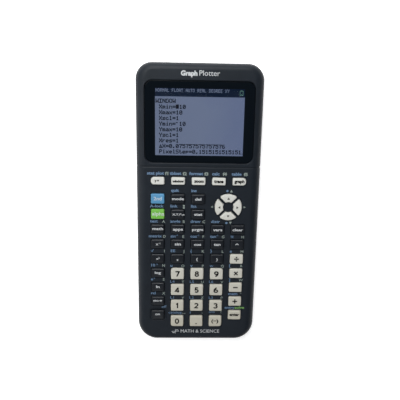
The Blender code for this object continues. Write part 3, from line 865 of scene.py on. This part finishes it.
def make_legend(name):
    """The printing on a key, which goes down with it."""
    centre, _ = key_box(name)
    ink = Ink(CAP_TOP_Z)
    dark = name in LIGHT_KEYS
    coloured = name in COLOURED_KEYS
    bold = 0.06 if dark else 0.01 if coloured else 0.024
    squeeze = 1.0 if dark else 0.92 if coloured else 0.71
    x, y = centre
    if name.isdigit():
        write_digit(ink, name, x - 0.1, y + 0.05)
    elif name in SIGNS:
        write_sign(ink, name, x, y + 0.15)
    elif name == "power":
        ink.stroke([(x - 1.05, y - 0.15), (x, y + 0.8), (x + 1.05, y - 0.15)], 0.44)
    elif name == "inverse":
        ink.write("x", x - 0.5, y - 0.75, 3.1, bold=0.015, squeeze=0.9)
        ink.write("-1", x + 1.1, y + 0.1, 1.8, bold=0.015, squeeze=0.9)
    elif name == "square":
        ink.write("x", x - 0.35, y - 0.7, 2.8, bold=0.015, squeeze=0.9)
        ink.write("2", x + 0.8, y + 0.1, 1.8, bold=0.015, squeeze=0.9)
    else:
        text, width, across, up = LEGENDS[name]
        if name in ("negative", "enter"):
            bold, squeeze = (0.05, 0.95) if name == "enter" else (0.045, 0.78)
        ink.write(text, x + across, y + up, 3.3, bold=bold, width=width, centred=True, squeeze=squeeze)
        if name == "store":
            tail = x + 1.0
            ink.bar(tail, y + up - 0.25, tail + 1.0, y + up + 0.25)
            ink.mark([(tail + 0.9, y + up - 0.75), (tail + 2.0, y + up), (tail + 0.9, y + up + 0.75)])
    slot = "key_light" if dark else "key_dark"
    ink.piece(f"key_{name}_legend", "dark_ink" if dark else "white_ink", "key_" + name, slot)


def make_arrow_mark(node):
    ink = Ink(CAP_TOP_Z)
    corners = ((6.8, 0.0), (5.4, 0.95), (5.4, -0.95))
    ink.mark([ring_point(forward, aside, ARROWS[node]) for forward, aside in corners])
    ink.piece(node + "_mark", "dark_ink", node, "key_light")


def make_keys():
    for name in RECTANGULAR:
        make_cap(name)
        make_legend(name)
    for node in ARROWS:
        make_cap(node[4:])
        make_arrow_mark(node)


# --- shells ---


def tray(name, outer, inner):
    """A shell from its outer and inner sections, both given from the rim to the closed end."""
    mesh = bmesh.new()
    rings = []
    for outline, z in [*reversed(outer), *inner]:
        rings.append([mesh.verts.new((x, y, z)) for x, y in outline])
    bridge(mesh, rings)
    mesh.faces.new(rings[0])
    mesh.faces.new(rings[-1])
    return object_from(name, mesh, "case")


def chamfered_hole(outline):
    """A hole through the face plate with a small broken edge at the top."""
    chamfer = 0.16
    straight = prism(outline(KEY_CLEARANCE), CEILING_Z - 1, FACE_Z - chamfer)
    return straight + prism(outline(KEY_CLEARANCE + chamfer), FACE_Z + 0.005, FACE_Z + 1)


def case_section():
    """Half of the case's cross-section, rim to middle, as (x, z) and outward (nx, nz) pairs."""
    half = CASE_WIDTH / 2
    wide, high = SHOULDER_INSET[0], FACE_Z - SHOULDER_Z
    points = [((half, RIM_Z - 1), (1.0, 0.0))]
    for up, along in quarter(14):
        normal = Vector(((1 - along) / wide, up / high)).normalized()
        points.append(((half - wide * along, SHOULDER_Z + high * up), tuple(normal)))
    return points


def crease_cutter():
    """A band that follows the case from rim to rim and cuts a groove, sloped on the keys' side."""
    floor_width, depth, slope, outside = 0.6, 0.36, 0.6, 0.5
    profile = (
        (-slope - slope / depth * outside, outside),
        (0.0, -depth),
        (floor_width, -depth),
        (floor_width + 0.7, outside),
    )
    right = case_section()
    left = [((-x, z), (-nx, nz)) for (x, z), (nx, nz) in reversed(right)]
    mesh = bmesh.new()
    rings = []
    for (x, z), (nx, nz) in right + left:
        places = [(x + nx * out, CREASE_Y + along, z + nz * out) for along, out in profile]
        rings.append([mesh.verts.new(place) for place in places])
    bridge(mesh, rings)
    mesh.faces.new(rings[0])
    mesh.faces.new(rings[-1])
    return mesh


def on_dish():
    """The shallow dish round the on key, as a solid to cut."""
    centre, _ = key_box("on")
    dish = []
    for up, along in quarter(6):
        grow = 1.7 * up
        size = (DISH_SIZE[0] + grow, DISH_SIZE[1] + grow)
        dish.append((box_outline(centre, size, 1.5 + 0.4 * grow), FACE_Z - 0.6 * (1 - along)))
    return [*dish, (dish[-1][0], FACE_Z + 1)]


def window_pocket():
    """The window's pocket with a rounded rim, as a solid to cut."""
    rim_low, rim_inset, rim_reach = PANE_HIGH[2] + 0.15, 0.12, 0.55
    levels = [(0, PANE_LOW[2] - GAP), (0, PANE_HIGH[2] - 0.1), (rim_inset, rim_low)]
    for up, along in quarter(5)[1:]:
        levels.append((rim_inset + rim_reach * along, rim_low + (FACE_Z - rim_low) * up + 0.004))
    levels.append((levels[-1][0], FACE_Z + 1))
    window = [size + 2 * GAP for size in WINDOW_SIZE]
    return boxes((0, DISPLAY_Y), window, WINDOW_CORNER + GAP, levels, 10)


def make_front_shell():
    rise = FACE_Z - SHOULDER_Z
    inner_rise = CEILING_Z - SHOULDER_Z
    outer = [(case_outline(0.2), RIM_Z), *prism(case_outline(0), RIM_Z + 0.2, SHOULDER_Z)]
    inner = prism(case_outline(WALL), RIM_Z, SHOULDER_Z)
    for up, along in quarter(12)[1:]:
        inset = [along * size for size in SHOULDER_INSET]
        outer.append((case_outline(*inset), SHOULDER_Z + rise * up))
        inner.append((case_outline(WALL + inset[0], WALL + inset[1]), SHOULDER_Z + inner_rise * up))
    shell = tray("front_shell", outer, inner)
    holes = [chamfered_hole(lambda margin, name=name: key_outline(name, margin)) for name in RECTANGULAR]
    for turn in ARROWS.values():
        holes.append(chamfered_hole(lambda margin, turn=turn: arrow_outline(turn, margin)))
    cut(shell, *holes)
    cut(shell, on_dish())
    ledge = box_outline((0, DISPLAY_Y), LEDGE_SIZE, 3.0, 4)
    join(shell, prism(ledge, LEDGE_Z, CEILING_Z + 0.5))
    cut(shell, window_pocket())
    view = box_outline((0, DISPLAY_Y), VIEW_SIZE, 1.0, 3)
    cut(shell, prism(view, LEDGE_Z - 1, FACE_Z + 1))
    boolean(shell, crease_cutter())
    piece(shell, stands_for=("front_case",), angle=40)


def charge_light_sections(gap):
    """The small lens beside the charging socket, or with a gap its hole, as sections along -Y."""
    sections = []
    for inset, y in ((0.1, REAR_HIGH[1] - 0.04), (0.0, REAR_HIGH[1] - 0.14), (0.0, REAR_HIGH[1] - 2.2)):
        size = (2.4 - 2 * inset + 2 * gap, 1.1 - 2 * inset + 2 * gap)
        sections.append((box_outline((CHARGE_LIGHT_X, CHARGE_LIGHT_Z), size, 0.3 + gap, 4), -y))
    if gap:
        sections.insert(0, (sections[0][0], sections[0][1] - 1))
    return sections


def lying(sections):
    """A solid whose outlines are in X and Z and whose heights run along -Y."""
    mesh = solids(sections)
    bmesh.ops.rotate(mesh, cent=(0, 0, 0), matrix=Matrix.Rotation(math.pi / 2, 3, "X"), verts=mesh.verts)
    return mesh


def make_rear_shell():
    lip_outer = WALL + GAP
    lip_inner = lip_outer + LIP_THICKNESS
    outer = [
        *prism(case_outline(lip_outer), LIP_TOP_Z, REAR_RIM_Z),
        (case_outline(0.2), REAR_RIM_Z),
        *prism(case_outline(0), REAR_RIM_Z - 0.2, BACK_CURVE_Z),
    ]
    inner = [
        *prism(case_outline(lip_inner), LIP_TOP_Z, REAR_RIM_Z - 1.2),
        *prism(case_outline(WALL), REAR_RIM_Z - 2.4, BACK_CURVE_Z),
    ]
    for down, along in quarter(10)[1:]:
        inset = along * BACK_INSET
        outer.append((case_outline(inset), BACK_CURVE_Z - (BACK_CURVE_Z - BACK_Z) * down))
        inner.append((case_outline(WALL + inset), BACK_CURVE_Z - (BACK_CURVE_Z - FLOOR_Z) * down))
    shell = tray("rear_shell", outer, inner)
    add_rear_posts(shell)
    cut_battery_bay(shell)
    cut_rear_holes(shell)
    left, right = SOCKET_X
    mouth = [(left, 90.0), (right, 90.0), (right, 99.0), (left, 99.0)]
    cut(shell, prism(mouth, SOCKET_LOW_Z, LIP_TOP_Z + 1))
    rails = []
    for side in (-1, 1):
        rail = box_outline((side * CASE_WIDTH / 2, RAIL_Y), (2 * RAIL_DEPTH, RAIL_LENGTH), 0.4, 3)
        rails.append(prism(rail, *RAIL_Z))
    cut(shell, *rails)
    panel = []
    for grow, z in ((0.3, BACK_Z - 1), (0.3, BACK_Z - 0.005), (0.0, BACK_Z + 0.18)):
        panel.append((box_outline((0, LABEL_Y), [side + grow for side in LABEL_RECESS], 2.0), z))
    cut(shell, panel)
    boolean(shell, lying(charge_light_sections(0.12)))
    piece(shell, stands_for=("rear_case",), angle=40)


def add_rear_posts(shell):
    """The pad over the battery cover, the bay's walls and the screw posts."""
    join(shell, prism(box_outline((0, COVER_Y), COVER_PAD_SIZE, 2.0), BACK_Z + 0.8, 3.4))
    walls = box_outline((0, BAY_Y), [size + 2.4 for size in BAY_SIZE], 1.0)
    join(shell, prism(walls, BAY_WALL_Z, 7.8))
    join(shell, *(prism(circle(x, y, 3.0), BACK_Z + 0.8, REAR_RIM_Z) for x, y in BOSSES))
    join(shell, prism(circle(0, COVER_SCREW_Y, 3.2), BAY_WALL_Z, 7.0))


def cut_battery_bay(shell):
    """The open bay and, under it, the cover's recess with a broken edge."""
    cut(shell, prism(box_outline((0, BAY_Y), BAY_SIZE, 0.8), BACK_Z - 1, 9.0))
    top = BACK_Z + COVER_THICKNESS + GAP
    levels = ((0.2, BACK_Z - 1), (0.2, BACK_Z - 0.005), (0, BACK_Z + 0.2), (0, top))
    recess = [size + 2 * GAP for size in COVER_SIZE]
    cut(shell, boxes((0, COVER_Y), recess, COVER_CORNER + GAP, levels))


def cut_rear_holes(shell):
    """Slots for the cover's tabs, and the holes for the screws and the reset button."""
    holes = []
    for side in (-1, 1):
        holes.append(prism(box_outline((side * TAB_X, TAB_Y), (8.0, 6.6), 0.2), BACK_Z + 0.7, 4.4))
    entry = ((2.3, BACK_Z - 1), (2.3, BACK_Z), (2.1, BACK_Z + 0.2))
    seat = ((2.1, SCREW_SEAT_Z), (1.2, SCREW_SEAT_Z), (1.2, 8.7))
    holes += [rounds(x, y, entry + seat) for x, y in BOSSES]
    holes.append(prism(circle(0, COVER_SCREW_Y, 1.5), BACK_Z, 6.0))
    reset = ((2.15, BACK_Z - 1), (2.15, BACK_Z), (1.9, BACK_Z + 0.25), (1.9, FLOOR_Z + 1))
    holes.append(rounds(RESET[0], RESET[1], reset))
    cut(shell, *holes)


def make_back_details():
    """Charge light, reset label, feet and case screws: visual pieces only."""
    piece(object_from("charge_light", lying(charge_light_sections(0)), "lens"))
    words = Ink(BACK_Z - INK)
    words.write("RESET", RESET[0], RESET[1] + 3.0, 2.2, bold=0.01, facing=-1)
    words.piece("reset_label", "mark_ink", slot="case_plastic")
    edge = ((FOOT_RADIUS - 0.45, 0.0), (FOOT_RADIUS - 0.15, 0.08), (FOOT_RADIUS, 0.3))
    levels = (*edge, (FOOT_RADIUS, BACK_Z + 0.02))
    for i, (x, y) in enumerate(FEET, start=1):
        piece(object_from(f"rubber_foot_{i}", solids(rounds(x, y, levels)), "rubber"))
    for i, (x, y) in enumerate(BOSSES, start=1):
        make_screw(f"case_screw_{i}", x, y, (SCREW_SEAT_Z - 1.3, SCREW_SEAT_Z), 1.85, REAR_RIM_Z)


def make_screw(name, x, y, head_z, head_radius, tip, body=ROOT, stands_for=()):
    """A cross-head screw seen from below."""
    head_low, head_high = head_z
    levels = [
        (head_radius - 0.25, head_low),
        (head_radius - 0.05, head_low + 0.12),
        (head_radius, head_low + 0.3),
        (head_radius, head_high - 0.02),
        (SHANK_RADIUS, head_high - 0.02),
        (SHANK_RADIUS, tip),
    ]
    made = object_from(name, solids(rounds(x, y, levels)), "steel")
    reach = head_radius * 0.62
    width = head_radius * 0.17
    depth = head_low + (head_high - head_low) * 0.6
    for long_x, long_y in ((reach, width), (width, reach)):
        slot = box_outline((x, y), (2 * long_x, 2 * long_y), width * 0.5, 2)
        cut(made, prism(slot, head_low - 1, depth))
    piece(made, body, stands_for=stands_for)


def make_battery_cover():
    levels = ((-0.35, BACK_Z), (-0.1, BACK_Z + 0.1), (0, BACK_Z + 0.35), (0, BACK_Z + COVER_THICKNESS))
    plate = boxes((0, COVER_Y), COVER_SIZE, COVER_CORNER, levels)
    cover = object_from("battery_door", solids(plate), "case")
    for side in (-1, 1):
        root = box_outline((side * TAB_X, TAB_Y - 1.6), (7.0, 2.6), 0.3)
        tab = box_outline((side * TAB_X, TAB_Y), (7.0, 5.2), 0.3)
        join(cover, prism(root, BACK_Z + 0.5, BACK_Z + 1.5))
        join(cover, prism(tab, BACK_Z + 1.05, BACK_Z + 1.7))
    hole = ((2.5, BACK_Z - 1), (2.5, BACK_Z), (2.35, BACK_Z + 0.7), (1.3, BACK_Z + 0.7), (1.3, 4.0))
    cut(cover, rounds(0, COVER_SCREW_Y, hole))
    grips = []
    for i in range(5):
        groove = box_outline((0, COVER_Y + 22.0 + 1.5 * i), (16.0 - i, 0.7), 0.34, 3)
        grips.append(prism(groove, BACK_Z - 1, BACK_Z + 0.25))
    cut(cover, *grips)
    piece(cover, "battery_door", stands_for=("battery_cover",))
    head_z = (BACK_Z + 0.05, BACK_Z + 0.62)
    held = ("battery_door", ("battery_cover_screw",))
    make_screw("battery_door_screw", 0, COVER_SCREW_Y, head_z, 2.05, 4.7, *held)


# --- window and display ---


def make_window():
    centre = (0, DISPLAY_Y)
    low, high = PANE_LOW[2], PANE_HIGH[2]
    levels = ((0, low), (0, high - 0.22), (-0.08, high - 0.07), (-0.22, high))
    pane = solids(boxes(centre, WINDOW_SIZE, WINDOW_CORNER, levels, 10))
    piece(object_from("window_pane", pane, "glass"), stands_for=("display_window",))
    levels = ((-0.15, low - 0.12), (-0.15, low - 0.02))
    sheet = solids(boxes(centre, WINDOW_SIZE, WINDOW_CORNER, levels, 10))
    border = object_from("window_border", sheet, "border")
    opening = box_outline(centre, [length - 0.2 for length in PICTURE_SIZE], 0.3, 3)
    cut(border, prism(opening, low - 1, low + 1))
    piece(border)


# Blocks of a heading line, then seven rows of dots under each letter
LETTER_SHEET = """
A     D     E     F     G     I     L     M     N     O     P     R     S     T     U
.###. ####. ##### ##### .###. ##### #.... #...# #...# .###. ####. ####. .#### ##### #...#
#...# #...# #.... #.... #...# ..#.. #.... ##.## ##..# #...# #...# #...# #.... ..#.. #...#
#...# #...# #.... #.... #.... ..#.. #.... #.#.# #.#.# #...# #...# #...# #.... ..#.. #...#
##### #...# ####. ####. #.### ..#.. #.... #.#.# #.#.# #...# ####. ####. .###. ..#.. #...#
#...# #...# #.... #.... #...# ..#.. #.... #...# #..## #...# #.... #.#.. ....# ..#.. #...#
#...# #...# #.... #.... #...# ..#.. #.... #...# #...# #...# #.... #..#. ....# ..#.. #...#
#...# ####. ##### #.... .###. ##### ##### #...# #...# .###. #.... #...# ####. ..#.. .###.
W     X     Y     a     c     e     i     l     m     n     p     r     s     t     x
#...# #...# #...# ..... ..... ..... ..#.. .##.. ..... ..... ..... ..... ..... .#... .....
#...# #...# #...# ..... ..... ..... ..... ..#.. ..... ..... ..... ..... ..... .#... .....
#...# .#.#. .#.#. .###. .###. .###. .##.. ..#.. ##.#. ####. ####. #.##. .#### ###.. #...#
#.#.# ..#.. ..#.. ....# #.... #...# ..#.. ..#.. #.#.# #...# #...# ##... #.... .#... .#.#.
#.#.# .#.#. ..#.. .#### #.... ##### ..#.. ..#.. #.#.# #...# ####. #.... .###. .#... ..#..
##.## #...# ..#.. #...# #...# #.... ..#.. ..#.. #.#.# #...# #.... #.... ....# .#..# .#.#.
#...# #...# ..#.. .#### .###. .###. .###. .###. #.#.# #...# #.... #.... ####. ..##. #...#
0     1     5     6     7     =     -     .     …     Δ
.###. ..#.. ##### .###. ##### ..... ..... ..... ..... .....
#...# .##.. #.... #.... ....# ..... ###.. ..... ..... ..#..
#..## ..#.. ####. #.... ...#. ##### ..... ..... ..... ..#..
#.#.# ..#.. ....# ####. ..#.. ..... ..... ..... ..... .#.#.
##..# ..#.. ....# #...# ..#.. ##### ..... ..... ..... .#.#.
#...# ..#.. #...# #...# ..#.. ..... ..... .##.. ..... #...#
.###. .###. .###. .###. ..#.. ..... ..... .##.. #.#.# #####
"""


def read_letters(sheet):
    """The seven rows of each letter."""
    shapes = {" ": (".....",) * 7}
    lines = sheet.strip().splitlines()
    for top in range(0, len(lines), 8):
        for letter, *rows in zip(*(line.split() for line in lines[top:top + 8])):
            shapes[letter] = rows
    return shapes


SMALL_LETTERS = read_letters(LETTER_SHEET)
PICTURE_LINES = (
    "WINDOW",
    " Xmin= 10",
    " Xmax=10",
    " Xscl=1",
    " Ymin=-10",
    " Ymax=10",
    " Yscl=1",
    " Xres=1",
    " ΔX=0.075757575757576",
    " PixelStep=0.1515151515151…",
)
STATUS_LINE = "NORMAL FLOAT AUTO REAL DEGREE XY"
STATUS_DOTS = 30
LINE_DOTS = 20
LETTER_DOTS = 12
CURSOR_PLACE = (6, 1)


def picture_point(across, down):
    """A place on the picture from its top left corner, counted in the panel's dots."""
    left = -PICTURE_SIZE[0] / 2
    top = DISPLAY_Y + PICTURE_SIZE[1] / 2
    return left + across * DOT, top - down * DOT


def dot_text(ink, text, across, down, pitch, dot, spread=0.0):
    """Dot-matrix letters; each run of lit dots in a row is one bar, grown by spread on every side."""
    for number, letter in enumerate(text):
        for row, pattern in enumerate(SMALL_LETTERS[letter]):
            for run in re.finditer("#+", pattern):
                start, end = (across + number * pitch + column * dot[0] for column in run.span())
                x0, y1 = picture_point(start - spread, down + row * dot[1] - spread)
                x1, y0 = picture_point(end + spread, down + (row + 1) * dot[1] + spread)
                ink.bar(x0, y0, x1, y1)


def make_picture():
    z = PANEL_TOP_Z + 0.02
    under = 3
    sheet = Ink(z)
    x0, y1 = picture_point(-under, STATUS_DOTS)
    x1, y0 = picture_point(PICTURE_DOTS[0] + under, PICTURE_DOTS[1] + under)
    sheet.bar(x0, y0, x1, y1)
    sheet.piece("picture", "picture", slot="display")
    bar = Ink(z)
    bar.bar(x0, y1, x1, picture_point(0, -under)[1])
    bar.piece("picture_status_bar", "status", slot="display")
    above = z + INK + 0.01
    words = Ink(above)
    for number, line in enumerate(PICTURE_LINES):
        dot_text(words, line, 3.5, STATUS_DOTS + 8.5 + number * LINE_DOTS, LETTER_DOTS, (2, 2), 0.5)
    words.piece("picture_text", "picture_ink", slot="display")
    cursor = Ink(above)
    column, row = CURSOR_PLACE
    x0, y1 = picture_point(2.5 + column * LETTER_DOTS, STATUS_DOTS + 7.5 + row * LINE_DOTS)
    cursor.bar(x0, y1 - 15 * DOT, x0 + 11 * DOT, y1)
    cursor.piece("picture_cursor", "cursor", slot="display")
    status = Ink(above)
    dot_text(status, STATUS_LINE, 3, 3, 8.2, (1.25, 1.6), 0.15)
    status.piece("picture_status_text", "status_ink", slot="display")
    battery = Ink(above)
    x0, y0 = picture_point(301, 23)
    x1, y1 = picture_point(313, 7)
    line = 1.3 * DOT
    battery.bar(x0, y0, x0 + line, y1)
    battery.bar(x1 - line, y0, x1, y1)
    battery.bar(x0, y0 - line * 0.1, x1, y0 + line)
    battery.bar(x0, y1 - line, x1, y1)
    middle = (x0 + x1) / 2
    battery.bar(middle - 1.5 * line, y1, middle + 1.5 * line, y1 + line)
    battery.bar(middle - line, y0 + 2.2 * line, middle + line, y0 + 3.4 * line)
    battery.piece("picture_battery", "status_battery", slot="display")


# --- printing on the case ---

LABEL_SIZE = 3.3
# Key: blue words, left edge from the key's centre; green letter, its middle from the key's centre
SHIFTED_LABELS = {
    "y_equals": ("stat plot", -7.0, "f1", 5.9),
    "window": ("tblset", -5.6, "f2", 4.3),
    "zoom": ("format", -6.3, "f3", 5.0),
    "trace": ("calc", -4.7, "f4", 3.7),
    "graph": ("table", -5.3, "f5", 4.1),
    "mode": ("quit", -4.7, "", 0),
    "delete": ("ins", -4.7, "", 0),
    "alpha": ("A-lock", -5.25, "", 0),
    "variable": ("link", -5.0, "", 0),
    "stat": ("list", -4.8, "", 0),
    "math": ("test", -5.15, "A", 3.9),
    "apps": ("angle", -5.1, "B", 4.0),
    "program": ("draw", -5.0, "C", 4.0),
    "vars": ("distr", -4.6, "", 0),
    "inverse": ("matrix", -6.1, "D", 4.5),
    "sin": ("sin", -4.9, "E", 3.8),
    "cos": ("cos", -4.9, "F", 3.9),
    "tan": ("tan", -5.0, "G", 3.9),
    "power": ("π", -4.5, "H", 3.8),
    "square": ("√", -4.8, "I", 4.5),
    "comma": ("EE", -4.7, "J", 4.2),
    "open_bracket": ("{", -4.8, "K", 3.9),
    "close_bracket": ("}", -4.6, "L", 3.9),
    "divide": ("e", -4.7, "M", 3.7),
    "log": ("10", -4.6, "N", 3.9),
    "7": ("u", -4.9, "O", 3.7),
    "8": ("v", -4.7, "P", 4.0),
    "9": ("w", -4.7, "Q", 4.0),
    "multiply": ("[", -4.75, "R", 3.8),
    "ln": ("e", -4.8, "S", 3.9),
    "4": ("L4", -4.9, "T", 3.8),
    "5": ("L5", -4.8, "U", 3.9),
    "6": ("L6", -4.9, "V", 4.1),
    "subtract": ("]", -4.65, "W", 3.7),
    "store": ("rcl", -4.8, "X", 3.9),
    "1": ("L1", -4.8, "Y", 3.9),
    "2": ("L2", -4.9, "Z", 4.0),
    "3": ("L3", -4.8, "θ", 4.2),
    "add": ("mem", -4.7, "\"", 3.9),
    "on": ("off", 2.5, "", 0),
    "0": ("catalog", -6.1, "", 0),
    "point": ("i", -4.5, ":", 4.1),
    "negative": ("ans", -4.5, "?", 4.1),
    "enter": ("entry", -7.0, "", 0),
}
RAISED = {"sin": "-1", "cos": "-1", "tan": "-1", "log": "x", "ln": "x"}
LABEL_LIFT = {
    **dict.fromkeys(("y_equals", "window", "zoom", "trace", "graph"), 4.6),
    "mode": 5.3,
    "delete": 5.2,
    "ln": 5.3,
    "store": 5.35,
    "on": 5.5,
    "0": 5.85,
    "point": 6.0,
    "negative": 6.5,
}
DIGIT_LIFT = 5.35
SIDE_LIFT = 5.05
SMALL_LABELS = ("0", "1", "2", "3", "4", "5", "6", "9", "negative", "on")
WORD_BASE = -0.5
LETTER_BASE = -0.7
TOP_MARK_Y = 88.5
BOTTOM_MARK_Y = -89.8


def label_lift(name):
    if name in LABEL_LIFT:
        return LABEL_LIFT[name]
    return DIGIT_LIFT if name.isdigit() else SIDE_LIFT


def make_case_printing():
    blue, letters, green = Ink(FACE_Z), Ink(FACE_Z), Ink(FACE_Z)
    for name, (word, left, letter, letter_x) in SHIFTED_LABELS.items():
        centre, _ = key_box(name)
        middle = centre[1] + label_lift(name)
        top_row = letter[:1] == "f"
        bold = 0.035 if top_row or name in ("mode", "delete") else 0.0 if name in SMALL_LABELS else 0.02
        x, y = centre[0] + left, middle + WORD_BASE
        blue.write(word, x, y, LABEL_SIZE, align="left", bold=bold, squeeze=0.84)
        if name in RAISED:
            _, _, right, _ = glyphs(word, LABEL_SIZE, 0.02)[1]
            blue.write(RAISED[name], x + right + 0.2, y + 1.1, 1.8, align="left")
        if letter:
            x, y = centre[0] + letter_x, middle + LETTER_BASE
            size, bold, squeeze = (3.5, 0.04, 0.82) if top_row else (2.75, 0.015, 0.95)
            letters.write(letter, x, y, size, bold=bold, squeeze=squeeze)
    x, y = key_box("enter")[0]
    y += label_lift("enter") + WORD_BASE
    green.write("solve", x + 6.9, y, LABEL_SIZE, align="right", squeeze=0.84)
    make_space_mark(letters)
    make_link_mark(letters)
    make_ring_icons(blue, letters)
    blue.piece("labels_second", "blue_ink", slot="case_plastic")
    letters.piece("labels_letters", "letter_ink", slot="case_plastic")
    green.piece("labels_solve", "green_ink", slot="case_plastic")
    top = Ink(FACE_Z)
    top.write("Graph", -1.9, TOP_MARK_Y, 4.4, align="right", bold=0.05, width=10.4)
    top.write("Plotter", -0.7, TOP_MARK_Y, 4.4, align="left", bold=0.0, width=12.9)
    top.piece("top_mark", "white_ink", slot="case_plastic")
    bottom = Ink(FACE_Z)
    bottom.write("MATH & SCIENCE", 2.9, BOTTOM_MARK_Y, 3.0, bold=0.0, width=27.6)
    make_wave(bottom, -14.7, BOTTOM_MARK_Y + 1.0)
    bottom.piece("bottom_mark", "mark_ink", slot="case_plastic")


def make_space_mark(ink):
    """The tray-shaped sign of a space, over the 0 key."""
    (x, y), _ = key_box("0")
    x, y = x + 4.7, y + label_lift("0") - 0.8
    ink.bar(x - 1.0, y, x + 1.0, y + 0.32)
    ink.bar(x - 1.0, y, x - 0.7, y + 0.9)
    ink.bar(x + 0.7, y, x + 1.0, y + 0.9)


def make_link_mark(ink):
    """Two small boxes, one over the other."""
    (x, y), _ = key_box("variable")
    for side in (-1, 1):
        ink.mark(box_outline((x + 3.9, y + SIDE_LIFT + side * 0.75), (1.25, 1.2), 0.3, 2))


def make_ring_icons(discs, arrows):
    """Brightness discs, page arrows and line-end arrows outside the arrow ring."""
    x, y = RING_CENTRE
    for side in (1, -1):
        level = y + side * 11.1
        base = level - side * 0.9
        discs.mark(circle(x - 0.9, level, 0.75, 16))
        arrows.mark([(x + 0.9, base), (x + 2.7, base), (x + 1.8, level + side * 0.9)][::side])
    for side in (1, -1):
        edge = x + side * 10.7
        near, far = edge - side * 0.5, edge - side * 0.25
        arrows.mark([(edge, y - 0.7), (edge + side * 1.0, y), (edge, y + 0.7)][::side])
        arrows.mark([(near, y - 0.7), (far, y - 0.7), (far, y + 0.7), (near, y + 0.7)])


def make_wave(ink, x, y):
    """A plain curve on a pair of axes."""
    ink.bar(x - 2.6, y - 0.12, x + 2.6, y + 0.12)
    ink.bar(x - 0.12, y - 1.7, x + 0.12, y + 1.7)
    steps = 20
    upper, lower = [], []
    for i in range(steps + 1):
        along = -2.5 + 5.0 * i / steps
        rise = 1.2 * math.sin(along * math.pi / 2.5)
        upper.append((x + along, y + rise + 0.22))
        lower.append((x + along, y + rise - 0.22))
    ink.mark(lower + upper[::-1])


# --- carried-over CAD nodes ---


def paint_nodes():
    looks = {
        "display_module": "panel_metal",
        "circuit_board": "board",
        "key_mat": "mat",
        "battery_pack": "battery",
        "reset_button": "rubber",
    }
    for node, look in looks.items():
        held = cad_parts[node]
        held.data.materials.clear()
        held.data.materials.append(MATERIALS[look])


# --- stage ---


FLOOR_SIZE = 6000.0
FLOOR_LEVEL = -0.2


def make_floor():
    mesh = bmesh.new()
    reach = FLOOR_SIZE / 2
    corners = ((-reach, -reach), (reach, -reach), (reach, reach), (-reach, reach))
    mesh.faces.new([mesh.verts.new((x, y, FLOOR_LEVEL)) for x, y in corners])
    floor = object_from("floor", mesh)
    nodes = Nodes("floor_paint")
    tint = nodes.ramp(nodes.noise(300.0), (0.3, (0.86, 0.86, 0.87)), (0.7, (0.9, 0.9, 0.9)))
    glow = {"Emission_Color": (1.0, 1.0, 1.0, 1.0), "Emission_Strength": 0.68}
    floor.data.materials.append(nodes.finish(tint, 0.8, Specular_IOR_Level=0.1, **glow))
    floor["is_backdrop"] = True


def make_light(name, place, size, power, colour=(1.0, 1.0, 1.0)):
    """A square soft box that faces the calculator."""
    data = bpy.data.lights.new(name, "AREA")
    data.shape = "RECTANGLE"
    data.size, data.size_y = size
    data.energy = power
    data.color = colour
    light = bpy.data.objects.new(name, data)
    light.location = place
    light.rotation_euler = (-Vector(place)).to_track_quat("-Z", "Y").to_euler()
    bpy.context.scene.collection.objects.link(light)


def make_world():
    """Pale at the horizon and dim overhead, as in a room with light walls."""
    world = bpy.data.worlds.new("studio")
    world.use_nodes = True
    tree = world.node_tree
    place = tree.nodes.new("ShaderNodeTexCoord")
    split = tree.nodes.new("ShaderNodeSeparateXYZ")
    ramp = tree.nodes.new("ShaderNodeValToRGB")
    ramp.color_ramp.elements[0].position = 0.15
    ramp.color_ramp.elements[0].color = (0.25, 0.25, 0.25, 1.0)
    ramp.color_ramp.elements[1].position = 0.7
    ramp.color_ramp.elements[1].color = (0.052, 0.055, 0.062, 1.0)
    tree.links.new(place.outputs["Generated"], split.inputs["Vector"])
    tree.links.new(split.outputs["Z"], ramp.inputs["Fac"])
    tree.links.new(ramp.outputs["Color"], tree.nodes["Background"].inputs["Color"])
    bpy.context.scene.world = world


CAMERA_PLACE = (-9.0, 85.5, 307.9)
CAMERA_LOOK = (0.0320, -0.2433, -0.9694)
CAMERA_UP = (-0.0110, 0.9698, -0.2437)


def make_camera():
    data = bpy.data.cameras.new("camera")
    data.lens = 42.85
    data.sensor_width = 36.0
    data.clip_start = 0.01
    camera = bpy.data.objects.new("camera", data)
    back = -Vector(CAMERA_LOOK).normalized()
    right = Vector(CAMERA_UP).cross(back).normalized()
    up = back.cross(right)
    turn = Matrix((right, up, back)).transposed().to_4x4()
    place = Vector((CAMERA_PLACE[0], CAMERA_PLACE[1], CAMERA_PLACE[2] + FACE_Z)) * MM
    camera.matrix_world = Matrix.Translation(place) @ turn
    bpy.context.scene.collection.objects.link(camera)
    bpy.context.scene.camera = camera


def make_stage():
    make_floor()
    make_world()
    make_light("key_soft_box", (-0.14, 0.26, 0.42), (0.3, 0.2), 1.5)
    make_light("far_soft_box", (-0.1, 0.9, 0.6), (0.6, 0.3), 5.8)
    make_light("left_soft_box", (-0.65, -0.1, 0.4), (0.3, 0.5), 1.05)
    make_light("near_soft_box", (-0.1, -0.8, 0.9), (0.8, 0.4), 1.45)
    make_camera()
    bpy.context.scene.view_settings.view_transform = "Standard"


make_front_shell()
make_rear_shell()
make_back_details()
make_battery_cover()
make_window()
make_picture()
make_keys()
make_case_printing()
paint_nodes()
make_stage()

boxes = {"cad": cad_bounds, "visual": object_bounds()}
